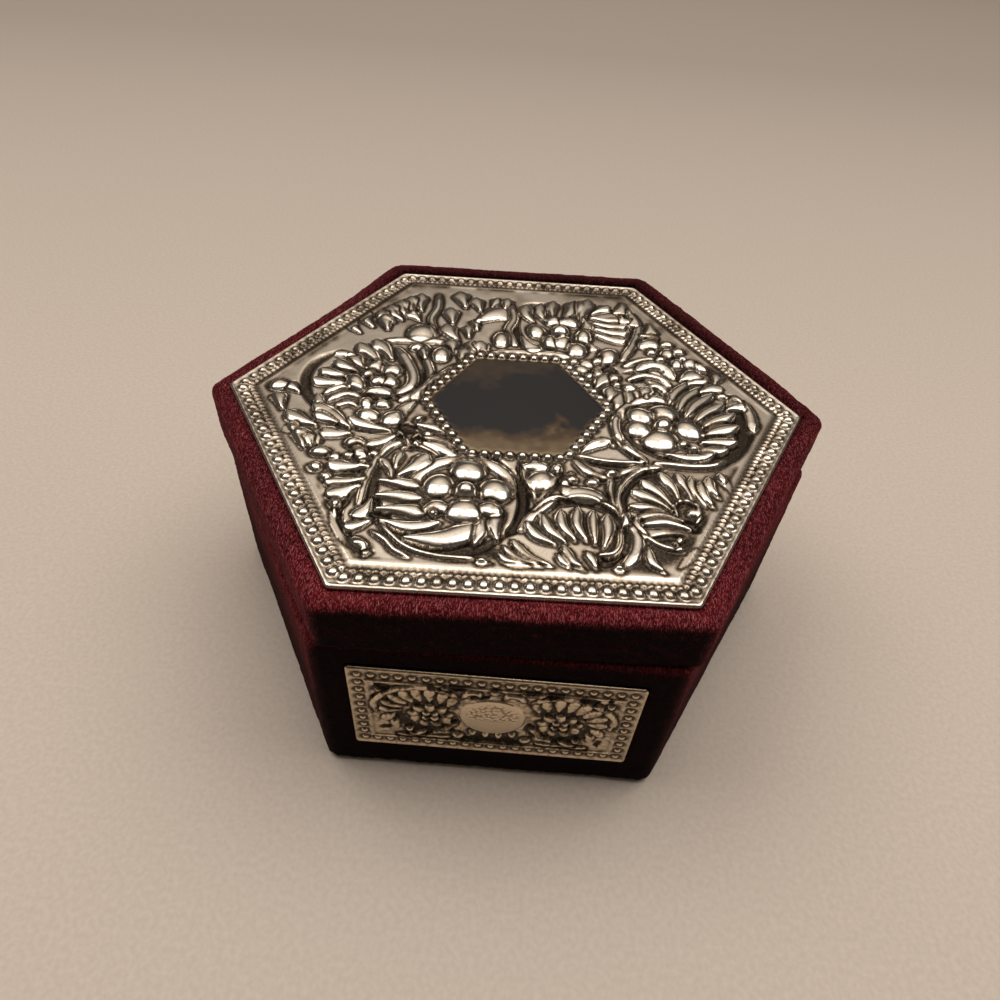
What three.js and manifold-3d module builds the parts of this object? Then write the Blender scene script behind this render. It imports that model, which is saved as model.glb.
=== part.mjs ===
// Hexagonal velvet jewelry box: a lift-off lid over an inner neck, with an embossed metal plate
// on the lid and one on the front wall. Millimetres, +Z up, origin on the table under the centre.
// The front wall faces -Y, and two of the six corners lie on the X axis.

import * as THREE from 'three';
import { mergeVertices } from 'three/addons/utils/BufferGeometryUtils.js';
import Module from 'manifold-3d';

const wasm = await Module();
wasm.setup();

// Overall sizes
const acrossFlats = 86; // outside of the velvet, lid and base alike
const baseHeight = 31.3; // table to the velvet on the base's rim
const lidHeight = 8.5; // velvet under the lid's rim to the velvet on its top
const seam = 0.3; // between the lid's rim and the base's rim
const lidTurnDegrees = 1.9; // the loose lid stands a little turned on its base
const cornerRadius = 2.4; // upright corners, over the velvet
const glueLine = 0.1; // between pieces that are glued together

// Boards
const lidRimBoard = 1.8;
const neckBoard = 1.5;
const floorBoard = 2.4;
const lidTopBoard = 2;

// Velvet and lining
const velvet = 0.9; // backing and pile
const edgeRoll = 1.3; // rounding where the velvet goes over a board's edge
const baseTurnIn = 4; // velvet that goes down inside the base's rim
const baseTurnUnder = 6; // velvet that goes under the base
const lining = 0.6;
const lidLining = 0.7;
const liningBelowRim = 2.5; // lining that goes down outside the neck, behind the rim
const footFelt = 1.1;
const footStandsProud = 0.25; // felt below the velvet
const crushedPile = 0.4; // how deep a plate presses the pile down
const plateSeatMargin = 0.2; // crushed pile that shows round a plate

// Neck
const neckStand = 4.6; // above the base's rim, lining included
const neckRound = 0.4;
const neckSlack = 0.3; // left at the neck's corners when the lid is turned

// Loose pad on the floor of the well
const padHeight = 3.6;
const padCrown = 1.4;
const padClearance = 0.5;
const padCorner = 2;
const padDrawnIn = 0.35; // how far its sides pull in between the corners

// Lid plate. Insets are measured from its edge to the middle of each ridge or row of beads.
const lidPlateMargin = 2.95; // velvet left bare round the plate
const plateThickness = 0.6;
const plateEdgeRound = 0.25;
const lidPlateCorner = 0.9;
const embossSink = 0.3; // how far an embossed form is rooted in its plate
const beadInset = 1.75;
const beadPitch = 1.9;
const beadWidth = 1.5;
const beadHeight = 0.55;
const smallBeadInset = 2.9; // this row is finer than a bead can show, so it is one ridge
const smallBeadWidth = 0.7;
const smallBeadHeight = 0.3;
const lineInset = 4.15;
const lineWidth = 1.3;
const lineHeight = 0.3;
const shieldSide = 14.9; // smooth middle of the plate, along one of its six sides
const shieldRise = 0.3;
const shieldBeadPitch = 1.95;
const shieldBeadWidth = 1.6;
const shieldBeadHeight = 0.85;

// Forms embossed on the lid plate, up from its ground, and channels sunk in the ground
const groundRise = 0.15;
const domeRise = 1;
const heartRise = 1.25;
const lobeRise = 0.8;
const stemRise = 0.5;
const channelDepth = 0.5;
const leastEdge = 0.01; // shorter edges are closed up where forms join

// Side plate, on the front wall
const sidePlateWidth = 40.5;
const sidePlateHeight = 20;
const sidePlateBelowRim = 4.2; // base's rim to the plate's upper edge
const sidePlateCorner = 0.6;
const sideBeadInset = 1.6;
const sideBeadWidth = 1.2;
const sideBeadHeight = 0.42;
const sideFrameInset = 2.95;
const sideFrameWidth = 0.6;
const sideFrameHeight = 0.3;
const sideOvalRise = 0.55;
const sidePetalRise = 0.6;
const sideBeadRise = 0.8;
const sideLobeRise = 0.5;

// Fineness of the round stretches
const cornerSteps = 3;
const rollSteps = 3;
const ridgeSteps = 2;
const crownShares = [0.85, 0.6, 0.3];
const bossSides = 6;
const beadSides = 5;
const lobeSides = 5;
const stemSteps = 4;
const channelSteps = 5;
const drawnInShares = [0, 0.75, 1, 0.75]; // along a side of the pad, from one corner to the next

const SIDES = 6;
const sector = (2 * Math.PI) / SIDES;
const FACES = ['front', 'front_right', 'back_right', 'back', 'back_left', 'front_left'];

// A hexagon that is turned by the lid's turn takes up this many times its own room.
const lidTurn = THREE.MathUtils.degToRad(lidTurnDegrees);
const turnedShare = Math.cos(lidTurn) + Math.sin(lidTurn) * Math.tan(sector / 2);

// Distances from the axis to each flat surface. The lid comes first, because the neck fits inside it.
const velvetOut = acrossFlats / 2;
const boardOut = velvetOut - velvet - glueLine;
const lidRimIn = boardOut - lidRimBoard;
const lidTurnInOut = lidRimIn - glueLine;
const lidTurnInIn = lidTurnInOut - velvet;
const neckLiningOut = (lidTurnInIn - neckSlack) / turnedShare;
const neckOut = neckLiningOut - lining - glueLine;
const neckIn = neckOut - neckBoard;
const wellOut = neckIn - glueLine;
const wellIn = wellOut - lining;
const turnInIn = neckLiningOut + glueLine;
const turnInOut = turnInIn + velvet;
const wallIn = turnInOut + glueLine;

// Heights of each level, from the table up
const velvetUnder = footStandsProud;
const floorUnder = velvetUnder + velvet + glueLine;
const floorTop = floorUnder + floorBoard;
const wallUnder = floorTop + glueLine;
const baseRim = baseHeight;
const wallTop = baseRim - velvet - glueLine;
const lidRim = baseRim + seam;
const lidRimUnder = lidRim + velvet + glueLine;
const lidTop = lidRim + lidHeight;
const lidBoardTop = lidTop - velvet - glueLine;
const lidBoardUnder = lidBoardTop - lidTopBoard;
const lidRimTop = lidBoardUnder - glueLine;
const lidLiningTop = lidBoardUnder - glueLine;
const lidLiningUnder = lidLiningTop - lidLining;
const neckTop = baseRim + neckStand;

// A hexagon with round corners, as points in the plane. The flats are apothem from the centre, and
// their middles pull in by drawnIn, if it is given.
function hexRing(apothem, radius, drawnIn) {
  const ring = [];
  const reach = (apothem - radius) / Math.cos(sector / 2);
  const half = (apothem - radius) * Math.tan(sector / 2);
  for (let corner = 0; corner < SIDES; corner++) {
    const towards = corner * sector;
    const centre = new THREE.Vector2(reach * Math.cos(towards), reach * Math.sin(towards));
    for (let step = 0; step <= cornerSteps; step++) {
      const angle = towards + sector * (step / cornerSteps - 1 / 2);
      ring.push(new THREE.Vector2(Math.cos(angle), Math.sin(angle)).multiplyScalar(radius).add(centre));
    }
    if (drawnIn === undefined) continue;
    const out = new THREE.Vector2(Math.cos(towards + sector / 2), Math.sin(towards + sector / 2));
    const along = new THREE.Vector2(-out.y, out.x);
    for (let stop = 1; stop < drawnInShares.length; stop++) {
      const place = half * ((2 * stop) / drawnInShares.length - 1);
      const flat = apothem - drawnIn * drawnInShares[stop];
      ring.push(out.clone().multiplyScalar(flat).addScaledVector(along, place));
    }
  }
  return ring;
}

// Twice the area a closed outline goes round, positive if it runs anticlockwise.
function signedArea(outline) {
  return outline.reduce((sum, point, i) => {
    const next = outline[(i + 1) % outline.length];
    return sum + point[0] * next[1] - next[0] * point[1];
  }, 0);
}

// A hexagonal body from a profile of [apothem, height, corner radius, drawn in] points, of which the
// last may be left out. An open profile starts and ends with a flat cap, and a closed one makes a ring
// with a hollow middle.
function hexBody(profile, closed = false) {
  const outline = closed ? profile : [[0, profile[0][1]], ...profile, [0, profile.at(-1)[1]]];
  const levels = signedArea(outline) > 0 ? profile : [...profile].reverse();
  const rings = levels.map(([apothem, , radius, drawnIn]) => hexRing(apothem, radius, drawnIn));
  const around = rings[0].length;
  const positions = rings.flatMap((ring, i) => ring.flatMap((point) => [point.x, point.y, levels[i][1]]));
  const index = [];
  const bands = closed ? levels.length : levels.length - 1;
  for (let band = 0; band < bands; band++) {
    const low = band * around;
    const high = ((band + 1) % levels.length) * around;
    for (let i = 0; i < around; i++) {
      const next = (i + 1) % around;
      index.push(low + i, low + next, high + next, low + i, high + next, high + i);
    }
  }
  if (!closed) {
    const first = positions.length / 3;
    positions.push(0, 0, levels[0][1], 0, 0, levels.at(-1)[1]);
    const top = (levels.length - 1) * around;
    for (let i = 0; i < around; i++) {
      const next = (i + 1) % around;
      index.push(first, next, i, first + 1, top + i, top + next);
    }
  }
  const geometry = new THREE.BufferGeometry();
  geometry.setAttribute('position', new THREE.Float32BufferAttribute(positions, 3));
  geometry.setIndex(index);
  return geometry;
}

// A quarter round of profile points about a centre, from one angle to another in quarter turns.
function quarter(centreOut, centreHeight, radius, fromQuarter, toQuarter, corner) {
  const points = [];
  for (let step = 0; step <= rollSteps; step++) {
    const angle = (fromQuarter + (toQuarter - fromQuarter) * (step / rollSteps)) * (Math.PI / 2);
    const out = centreOut + radius * Math.cos(angle);
    points.push([out, centreHeight + radius * Math.sin(angle), corner(out)]);
  }
  return points;
}

// The corner radius of a surface that lies inside the velvet's outer face by a constant depth.
const nested = (apothem) => Math.max(cornerRadius - (velvetOut - apothem), glueLine);

function solidOf(geometry) {
  const bare = geometry.index ? geometry.toNonIndexed() : geometry.clone();
  bare.deleteAttribute('normal');
  bare.deleteAttribute('uv');
  const merged = mergeVertices(bare);
  return new wasm.Manifold(
    new wasm.Mesh({
      numProp: 3,
      vertProperties: merged.attributes.position.array,
      triVerts: new Uint32Array(merged.index.array),
    }),
  );
}

function geometryOf(solid) {
  const { vertProperties, triVerts } = solid.getMesh();
  const geometry = new THREE.BufferGeometry();
  geometry.setAttribute('position', new THREE.BufferAttribute(vertProperties, 3));
  geometry.setIndex(new THREE.BufferAttribute(triVerts, 1));
  return geometry;
}

const velvetCloth = new THREE.MeshStandardMaterial({ color: 0x4a0a14, roughness: 0.95, metalness: 0 });
const wellCloth = new THREE.MeshStandardMaterial({ color: 0x5a0d1a, roughness: 0.9, metalness: 0 });
const silver = new THREE.MeshStandardMaterial({ color: 0xb9b1a2, roughness: 0.3, metalness: 1 });
const greyBoard = new THREE.MeshStandardMaterial({ color: 0x8d8375, roughness: 0.9, metalness: 0 });
const felt = new THREE.MeshStandardMaterial({ color: 0x2a060c, roughness: 1, metalness: 0 });

function named(name, geometry, material) {
  const mesh = new THREE.Mesh(geometry, material);
  mesh.name = name;
  return mesh;
}

// Turns a piece made for the front wall to face another wall.
function facing(face, piece) {
  const turned = new THREE.Group();
  turned.rotation.z = face * sector;
  turned.add(piece);
  return turned;
}

// One of six mitred boards round the axis, between two distances from it. Its outer corners follow the
// rounding of the whole hexagon.
function mitredBoard(outer, inner, under, top) {
  const half = (apothem) => apothem * Math.tan(sector / 2) - glueLine;
  const plan = new THREE.Shape();
  plan.moveTo(-half(outer), -outer);
  plan.lineTo(half(outer), -outer);
  plan.lineTo(half(inner), -inner);
  plan.lineTo(-half(inner), -inner);
  const board = new THREE.ExtrudeGeometry(plan, { depth: top - under, bevelEnabled: false });
  const rounded = hexBody([
    [outer, under - glueLine, nested(outer)],
    [outer, top + glueLine, nested(outer)],
  ]);
  return geometryOf(solidOf(board.translate(0, 0, under)).intersect(solidOf(rounded)));
}

function boardRing(prefix, outer, inner, under, top) {
  return FACES.map((face, i) =>
    facing(i, named(`${prefix}_${face}`, mitredBoard(outer, inner, under, top), greyBoard)),
  );
}

function hexBoard(apothem, under, top) {
  return hexBody([
    [apothem, under, nested(apothem)],
    [apothem, top, nested(apothem)],
  ]);
}

// The base's velvet: under the floor, round the lower edge, up the walls, over the rim and down inside.
function baseVelvet() {
  const innerRoll = velvet / 2;
  const underEnd = boardOut - baseTurnUnder;
  const insideEnd = baseRim - baseTurnIn;
  const boardRim = wallTop + glueLine;
  const outside = velvetOut - velvet;
  const skin = hexBody(
    [
      [underEnd, velvetUnder, nested(underEnd)],
      ...quarter(velvetOut - edgeRoll, velvetUnder + edgeRoll, edgeRoll, -1, 0, nested),
      ...quarter(velvetOut - edgeRoll, baseRim - edgeRoll, edgeRoll, 0, 1, nested),
      ...quarter(turnInIn + innerRoll, baseRim - innerRoll, innerRoll, 1, 2, nested),
      [turnInIn, insideEnd, nested(turnInIn)],
      [turnInOut, insideEnd, nested(turnInOut)],
      [turnInOut, boardRim, nested(turnInOut)],
      [outside, boardRim, nested(outside)],
      [outside, velvetUnder + velvet, nested(outside)],
      [underEnd, velvetUnder + velvet, nested(underEnd)],
    ],
    true,
  );
  return geometryOf(solidOf(skin).subtract(solidOf(sideSeat())));
}

// The lid's velvet: across the top under the plate, round the edge, down the rim and up inside.
function lidVelvet() {
  const innerRoll = velvet / 2;
  const seat = lidPlateOut + plateSeatMargin;
  const outside = velvetOut - velvet;
  const seatTop = lidTop - crushedPile;
  const insideEnd = lidLiningTop;
  return hexBody([
    [seat, seatTop, lidPlateCorner],
    [seat + crushedPile, lidTop, nested(seat + crushedPile)],
    ...quarter(velvetOut - edgeRoll, lidTop - edgeRoll, edgeRoll, 1, 0, nested),
    ...quarter(velvetOut - innerRoll, lidRim + innerRoll, innerRoll, 0, -1, nested),
    ...quarter(lidTurnInIn + innerRoll, lidRim + innerRoll, innerRoll, 3, 2, nested),
    [lidTurnInIn, insideEnd, nested(lidTurnInIn)],
    [lidTurnInOut, insideEnd, nested(lidTurnInOut)],
    [lidTurnInOut, lidRim + velvet, nested(lidTurnInOut)],
    [outside, lidRim + velvet, nested(outside)],
    [outside, lidTop - velvet, nested(outside)],
  ]);
}

// The lining: down outside the neck, over its top and down inside to the floor.
function neckLining() {
  const outEnd = baseRim - liningBelowRim;
  const boardTop = neckTop - lining;
  return hexBody(
    [
      [neckLiningOut, outEnd, nested(neckLiningOut)],
      ...quarter(neckLiningOut - neckRound, neckTop - neckRound, neckRound, 0, 1, nested),
      ...quarter(wellIn + neckRound, neckTop - neckRound, neckRound, 1, 2, nested),
      [wellIn, wallUnder, nested(wellIn)],
      [wellOut, wallUnder, nested(wellOut)],
      [wellOut, boardTop, nested(wellOut)],
      [neckLiningOut - lining, boardTop, nested(neckLiningOut - lining)],
      [neckLiningOut - lining, outEnd, nested(neckLiningOut - lining)],
    ],
    true,
  );
}

// A pad on the floor of the well, with a round edge, sides that are drawn in and a low crown.
function wellPad() {
  const out = wellIn - padClearance;
  const edge = (padHeight - padCrown) / 2;
  const side = quarter(out - edge, wallUnder + edge, edge, -1, 1, () => padCorner);
  const crown = (share) => [
    out * share,
    wallUnder + padHeight - padCrown * share * share,
    padCorner * share,
    padDrawnIn * share,
  ];
  return hexBody([...side.map((point) => [...point, padDrawnIn]), ...crownShares.map(crown)]);
}

function footPad() {
  const out = boardOut - baseTurnUnder - glueLine;
  return hexBody([
    [out, 0, nested(out)],
    [out, footFelt, nested(out)],
  ]);
}

function lidLiningPanel() {
  const out = lidTurnInIn - glueLine;
  const edge = lidLining / 2;
  return hexBody([
    [out - edge, lidLiningUnder, nested(out)],
    [out, lidLiningUnder + edge, nested(out)],
    [out, lidLiningTop, nested(out)],
  ]);
}

// Distance from the axis to the lid plate's edge, and the length of one of its six sides. The plate's
// ornament is placed in shares of that side, from the plate's centre, with x to the right.
const lidPlateOut = velvetOut - lidPlateMargin;
const lidPlateSide = 2 * lidPlateOut * Math.tan(sector / 2);

// Domes and buds: centre, half length, half width, and tilt in turns. Most stand round a heart.
const domeShares = [
  [-0.15, -0.389, 0.051, 0.046, 0],
  [-0.236, -0.461, 0.05, 0.042, 0.19],
  [-0.064, -0.469, 0.05, 0.045, 0.33],
  [-0.154, -0.56, 0.055, 0.044, 0.01],
  [-0.238, -0.554, 0.032, 0.026, 0.08],
  [-0.074, -0.549, 0.032, 0.026, 0.39],
  [0.504, -0.041, 0.051, 0.048, 0],
  [0.579, -0.119, 0.051, 0.043, 0.33],
  [0.476, -0.182, 0.058, 0.052, 0.06],
  [0.409, -0.128, 0.043, 0.039, 0.17],
  [0.424, -0.056, 0.043, 0.039, 0.38],
  [-0.51, 0.143, 0.035, 0.03, 0],
  [-0.452, 0.125, 0.035, 0.03, 0.17],
  [-0.458, 0.056, 0.032, 0.03, 0],
  [-0.484, -0.009, 0.048, 0.027, 0],
  [-0.571, 0.043, 0.048, 0.03, 0.32],
  [0.145, 0.528, 0.035, 0.032, 0],
  [0.203, 0.523, 0.035, 0.032, 0],
  [0.071, 0.445, 0.05, 0.034, 0.31],
  [0.125, 0.378, 0.043, 0.031, 0.28],
  [0.175, 0.378, 0.041, 0.029, 0.24],
  [0.253, 0.43, 0.048, 0.029, 0.24],
  [0.223, 0.333, 0.041, 0.032, 0.22],
  [0.339, 0.301, 0.052, 0.036, 0.18],
  [0.076, -0.411, 0.043, 0.036, 0.17],
  [0.063, -0.348, 0.038, 0.021, 0],
  [0.205, -0.463, 0.056, 0.03, 0.48],
  [-0.497, -0.136, 0.038, 0.026, 0.43],
  [-0.417, -0.149, 0.037, 0.031, 0.17],
  [-0.83, 0.004, 0.029, 0.025, 0.17],
  [-0.519, -0.281, 0.029, 0.025, 0],
  [-0.495, -0.331, 0.029, 0.024, 0.42],
  [-0.618, -0.335, 0.029, 0.021, 0],
  [-0.515, -0.071, 0.029, 0.022, 0.28],
  [-0.376, 0.389, 0.054, 0.048, 0.22],
  [-0.067, 0.378, 0.045, 0.028, 0.25],
  [-0.288, 0.249, 0.042, 0.029, 0.25],
  [0.51, 0.402, 0.041, 0.032, 0.06],
  [0.571, 0.342, 0.032, 0.025, 0.19],
  [0.597, 0.277, 0.029, 0.021, 0.22],
  [0.657, 0.285, 0.032, 0.026, 0.39],
  [0.231, 0.208, 0.028, 0.024, 0],
];

// The heart of each of the four whorls, and its half width.
const heartShares = [
  [-0.152, -0.476],
  [0.495, -0.106],
  [-0.532, 0.091],
  [0.162, 0.456],
];
const heartShare = 0.028;

// Fans of lobes: how many, their half width, then a curve that they start on and one that they end on.
const fanShares = [
  [4, 0.02, [[-0.415, -0.454], [-0.411, -0.547], [-0.385, -0.618]],
    [[-0.29, -0.474], [-0.272, -0.551], [-0.221, -0.614]]],
  [6, 0.015, [[0.106, -0.67], [0.184, -0.642], [0.251, -0.675]],
    [[0.037, -0.603], [0.16, -0.534], [0.268, -0.549]]],
  [3, 0.012, [[0.099, -0.755], [0.065, -0.757], [0.035, -0.759]],
    [[-0.009, -0.668], [-0.028, -0.696], [-0.043, -0.722]]],
  [5, 0.015, [[0.467, -0.493], [0.454, -0.525], [0.51, -0.59]],
    [[0.389, -0.389], [0.342, -0.497], [0.368, -0.582]]],
  [6, 0.014, [[0.491, -0.467], [0.584, -0.478], [0.664, -0.406]],
    [[0.452, -0.357], [0.566, -0.374], [0.644, -0.337]]],
  [5, 0.019, [[0.53, 0.013], [0.582, -0.05], [0.627, -0.106]],
    [[0.623, 0.156], [0.701, 0.091], [0.757, -0.019]]],
  [4, 0.019, [[0.627, -0.147], [0.597, -0.201], [0.489, -0.253]],
    [[0.757, -0.086], [0.718, -0.19], [0.64, -0.242]]],
  [5, 0.018, [[0.316, 0.026], [0.381, 0.013], [0.454, 0.05]],
    [[0.335, 0.093], [0.402, 0.08], [0.465, 0.112]]],
  [6, 0.023, [[0.056, 0.519], [0.16, 0.562], [0.303, 0.601]],
    [[0.03, 0.64], [0.186, 0.69], [0.368, 0.67]]],
  [4, 0.016, [[0.303, 0.575], [0.309, 0.51], [0.311, 0.445]],
    [[0.411, 0.575], [0.419, 0.502], [0.411, 0.419]]],
  [5, 0.019, [[-0.394, 0.56], [-0.445, 0.51], [-0.493, 0.463]],
    [[-0.402, 0.679], [-0.478, 0.61], [-0.549, 0.528]]],
  [3, 0.018, [[-0.508, 0.409], [-0.571, 0.419], [-0.614, 0.376]],
    [[-0.528, 0.484], [-0.61, 0.519], [-0.662, 0.463]]],
  [6, 0.021, [[-0.467, 0.201], [-0.569, 0.125], [-0.61, 0.035]],
    [[-0.541, 0.311], [-0.631, 0.19], [-0.714, 0.048]]],
  [4, 0.023, [[0.605, 0.177], [0.657, 0.117], [0.744, 0.011]],
    [[0.668, 0.221], [0.726, 0.151], [0.794, 0.037]]],
  [4, 0.019, [[-0.346, 0.223], [-0.238, 0.264], [-0.125, 0.262]],
    [[-0.363, 0.303], [-0.255, 0.342], [-0.145, 0.344]]],
];

// Single lobes: half width and two ends.
const lobeShares = [
  [0.03, [-0.307, -0.681], [-0.11, -0.621]],
  [0.016, [-0.115, -0.685], [-0.095, -0.595]],
  [0.017, [-0.052, -0.662], [-0.045, -0.549]],
  [0.025, [-0.355, -0.419], [-0.285, -0.331]],
  [0.014, [0.186, -0.759], [0.138, -0.685]],
  [0.025, [0.285, 0.099], [0.333, 0.175]],
  [0.024, [0.017, 0.389], [0.078, 0.311]],
  [0.026, [0.43, 0.701], [0.424, 0.618]],
  [0.021, [0.452, 0.636], [0.467, 0.532]],
  [0.017, [0.525, 0.549], [0.53, 0.476]],
  [0.016, [0.489, 0.458], [0.545, 0.437]],
  [0.024, [-0.262, 0.48], [-0.277, 0.575]],
  [0.025, [-0.221, 0.612], [-0.246, 0.709]],
  [0.019, [-0.158, 0.588], [-0.179, 0.67]],
  [0.025, [-0.238, 0.359], [-0.281, 0.45]],
  [0.037, [-0.156, 0.497], [-0.056, 0.588]],
  [0.016, [-0.192, 0.389], [-0.199, 0.454]],
  [0.025, [-0.556, -0.205], [-0.683, -0.106]],
  [0.023, [-0.668, -0.203], [-0.761, -0.145]],
  [0.017, [-0.419, -0.216], [-0.558, -0.158]],
  [0.014, [-0.389, -0.234], [-0.51, -0.29]],
  [0.018, [-0.791, -0.117], [-0.822, -0.048]],
  [0.017, [-0.705, -0.251], [-0.748, -0.216]],
  [0.023, [-0.677, -0.311], [-0.701, -0.236]],
  [0.019, [-0.471, -0.394], [-0.575, -0.389]],
  [0.021, [-0.482, -0.486], [-0.558, -0.523]],
  [0.016, [-0.43, -0.541], [-0.467, -0.61]],
  [0.016, [-0.333, -0.205], [-0.192, -0.277]],
  [0.016, [-0.301, -0.268], [-0.199, -0.32]],
];

// Smooth stems and scrolls: half width, and the points that each one's curve goes through.
const stemShares = [
  [0.025, [-0.314, -0.445], [-0.225, -0.35], [-0.078, -0.357], [-0.011, -0.476]],
  [0.015, [-0.461, -0.562], [-0.439, -0.363], [-0.365, -0.259]],
  [0.021, [0.015, -0.623], [0.099, -0.506], [0.171, -0.372]],
  [0.017, [0.186, -0.311], [0.264, -0.385], [0.376, -0.337], [0.454, -0.318]],
  [0.013, [0.298, -0.381], [0.288, -0.445], [0.301, -0.523]],
  [0.022, [0.329, -0.554], [0.352, -0.636], [0.307, -0.739]],
  [0.027, [0.346, -0.078], [0.415, 0.026], [0.528, 0.035]],
  [0.017, [0.342, -0.195], [0.331, -0.13], [0.337, -0.061]],
  [0.013, [0.445, -0.298], [0.541, -0.309], [0.679, -0.268]],
  [0.024, [0.798, 0.065], [0.813, -0.013], [0.804, -0.099]],
  [0.015, [0.35, -0.212], [0.381, -0.259], [0.415, -0.298]],
  [0.024, [-0.45, 0.272], [-0.376, 0.108], [-0.417, -0.006]],
  [0.017, [-0.376, 0.29], [-0.311, 0.099], [-0.402, -0.043]],
  [0.026, [-0.208, 0.195], [-0.264, 0.121], [-0.355, -0.026]],
  [0.015, [-0.662, -0.03], [-0.614, 0.009], [-0.554, 0.009]],
  [0.015, [-0.644, -0.071], [-0.592, -0.032], [-0.538, -0.041]],
  [0.022, [-0.117, 0.275], [0.022, 0.294], [0.195, 0.29]],
  [0.019, [-0.497, 0.324], [-0.389, 0.333], [-0.281, 0.337]],
  [0.019, [-0.035, 0.649], [-0.019, 0.541], [-0.041, 0.445], [-0.013, 0.346]],
  [0.017, [-0.333, 0.692], [-0.329, 0.584], [-0.346, 0.489], [-0.316, 0.381]],
  [0.019, [0.389, 0.285], [0.48, 0.519], [0.467, 0.627]],
  [0.025, [0.445, 0.225], [0.497, 0.257], [0.571, 0.19]],
  [0.015, [0.406, 0.16], [0.463, 0.186], [0.554, 0.13]],
  [0.017, [0.476, 0.123], [0.515, 0.112], [0.536, 0.074]],
];

// Channels sunk beside the whorls, written as the stems are.
const channelShares = [
  [0.015, [-0.015, -0.368], [0.022, -0.519], [-0.043, -0.662]],
  [0.021, [-0.026, -0.649], [-0.205, -0.716], [-0.372, -0.623], [-0.437, -0.432]],
  [0.025, [0.739, 0.048], [0.768, -0.134], [0.653, -0.264], [0.545, -0.281]],
  [0.021, [-0.666, 0.238], [-0.748, 0.078], [-0.679, -0.091], [-0.61, -0.13]],
  [0.017, [0.121, 0.675], [-0.009, 0.575], [0.011, 0.394], [0.16, 0.316]],
  [0.013, [0.432, 0.368], [0.441, 0.571], [0.389, 0.67]],
  [0.012, [0.35, -0.597], [0.329, -0.489], [0.368, -0.389], [0.493, -0.329]],
  [0.012, [-0.575, -0.022], [-0.424, -0.035], [-0.344, 0.074], [-0.365, 0.186]],
  [0.012, [0.562, -0.281], [0.441, -0.251], [0.355, -0.143]],
];

// A low form on a plate, oval in plan, rooted in the plate by the sink. Its shoulders say where its sides
// bend on the way to its top.
function raisedForm(halfLong, halfWide, rise, sides, shoulders) {
  const profile = [[0, -embossSink], [1, -embossSink], [1, 0], ...shoulders, [0, rise]];
  const points = profile.map(([out, height]) => new THREE.Vector2(out, height));
  return new THREE.LatheGeometry(points, sides).rotateX(Math.PI / 2).scale(halfLong, halfWide, 1);
}

function boss(halfLong, halfWide, rise, sides) {
  return raisedForm(halfLong, halfWide, rise, sides, [[Math.SQRT1_2, rise * Math.SQRT1_2]]);
}

function bead(width, rise) {
  return boss(width / 2, width / 2, rise, beadSides);
}

// A bead too small for a round top
function stud(width, rise) {
  return raisedForm(width / 2, width / 2, rise, beadSides, []);
}

// A lobe from one end to the other, given as points in the plane.
function lobe(near, far, halfWide, rise) {
  const form = boss(near.distanceTo(far) / 2, halfWide, rise, lobeSides);
  const middle = near.clone().lerp(far, 1 / 2);
  return form.rotateZ(far.clone().sub(near).angle()).translate(middle.x, middle.y, 0);
}

// A smooth curve through points in the plane
function curveThrough(points) {
  return new THREE.CatmullRomCurve3(points.map(([x, y]) => new THREE.Vector3(x, y, 0)));
}

// A bar along a curve. Its section is drawn across the curve, as points that go anticlockwise.
function bar(curve, section, steps) {
  const positions = [];
  const index = [];
  const corners = section.length;
  for (let step = 0; step <= steps; step++) {
    const place = curve.getPoint(step / steps);
    const along = curve.getTangent(step / steps);
    for (const [aside, height] of section)
      positions.push(place.x + along.y * aside, place.y - along.x * aside, height);
  }
  for (let step = 0; step < steps; step++) {
    for (let i = 0; i < corners; i++) {
      const near = step * corners;
      const far = near + corners;
      const next = (i + 1) % corners;
      index.push(near + i, far + i, far + next, near + i, far + next, near + next);
    }
  }
  const last = steps * corners;
  for (let i = 1; i < corners - 1; i++) index.push(0, i, i + 1, last, last + i + 1, last + i);
  const geometry = new THREE.BufferGeometry();
  geometry.setAttribute('position', new THREE.Float32BufferAttribute(positions, 3));
  geometry.setIndex(index);
  return geometry;
}

// A stem that stands on a plate, flat topped and narrower above
function stem(points, halfWide, rise) {
  const section = [
    [-halfWide, -embossSink],
    [halfWide, -embossSink],
    [halfWide / 2, rise],
    [-halfWide / 2, rise],
  ];
  return bar(curveThrough(points), section, stemSteps);
}

// What a channel takes out of a plate, with sides that slope
function channel(points, halfWide, depth) {
  const section = [
    [-halfWide / 2, -depth],
    [halfWide / 2, -depth],
    [halfWide, 0],
    [halfWide, embossSink],
    [-halfWide, embossSink],
    [-halfWide, 0],
  ];
  return bar(curveThrough(points), section, channelSteps);
}

// Copies of a form at an even pitch along the six sides of a hexagon.
function beadRow(form, apothem, pitch) {
  const side = 2 * apothem * Math.tan(sector / 2);
  const count = Math.round(side / pitch);
  const beads = [];
  for (let face = 0; face < SIDES; face++) {
    for (let i = 0; i < count; i++) {
      const along = side * ((i + 1 / 2) / count - 1 / 2);
      beads.push(form.clone().translate(along, -apothem, 0).rotateZ(face * sector));
    }
  }
  return beads;
}

// An even spread of angles from one to another, both given in turns.
function anglesBetween(first, last, count) {
  return Array.from({ length: count }, (_, i) => 2 * Math.PI * (first + ((last - first) * i) / (count - 1)));
}

// Lobes spread evenly between the curve that they start on and the one that they end on.
function fan(count, halfWide, starts, ends) {
  const [near, far] = [starts, ends].map((points) => curveThrough(points.map(onLidPlate)));
  return Array.from({ length: count }, (_, i) => {
    const [start, end] = [near, far].map((curve) => curve.getPoint(i / (count - 1)));
    return lobe(new THREE.Vector2(start.x, start.y), new THREE.Vector2(end.x, end.y), halfWide, lobeRise);
  });
}

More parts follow.
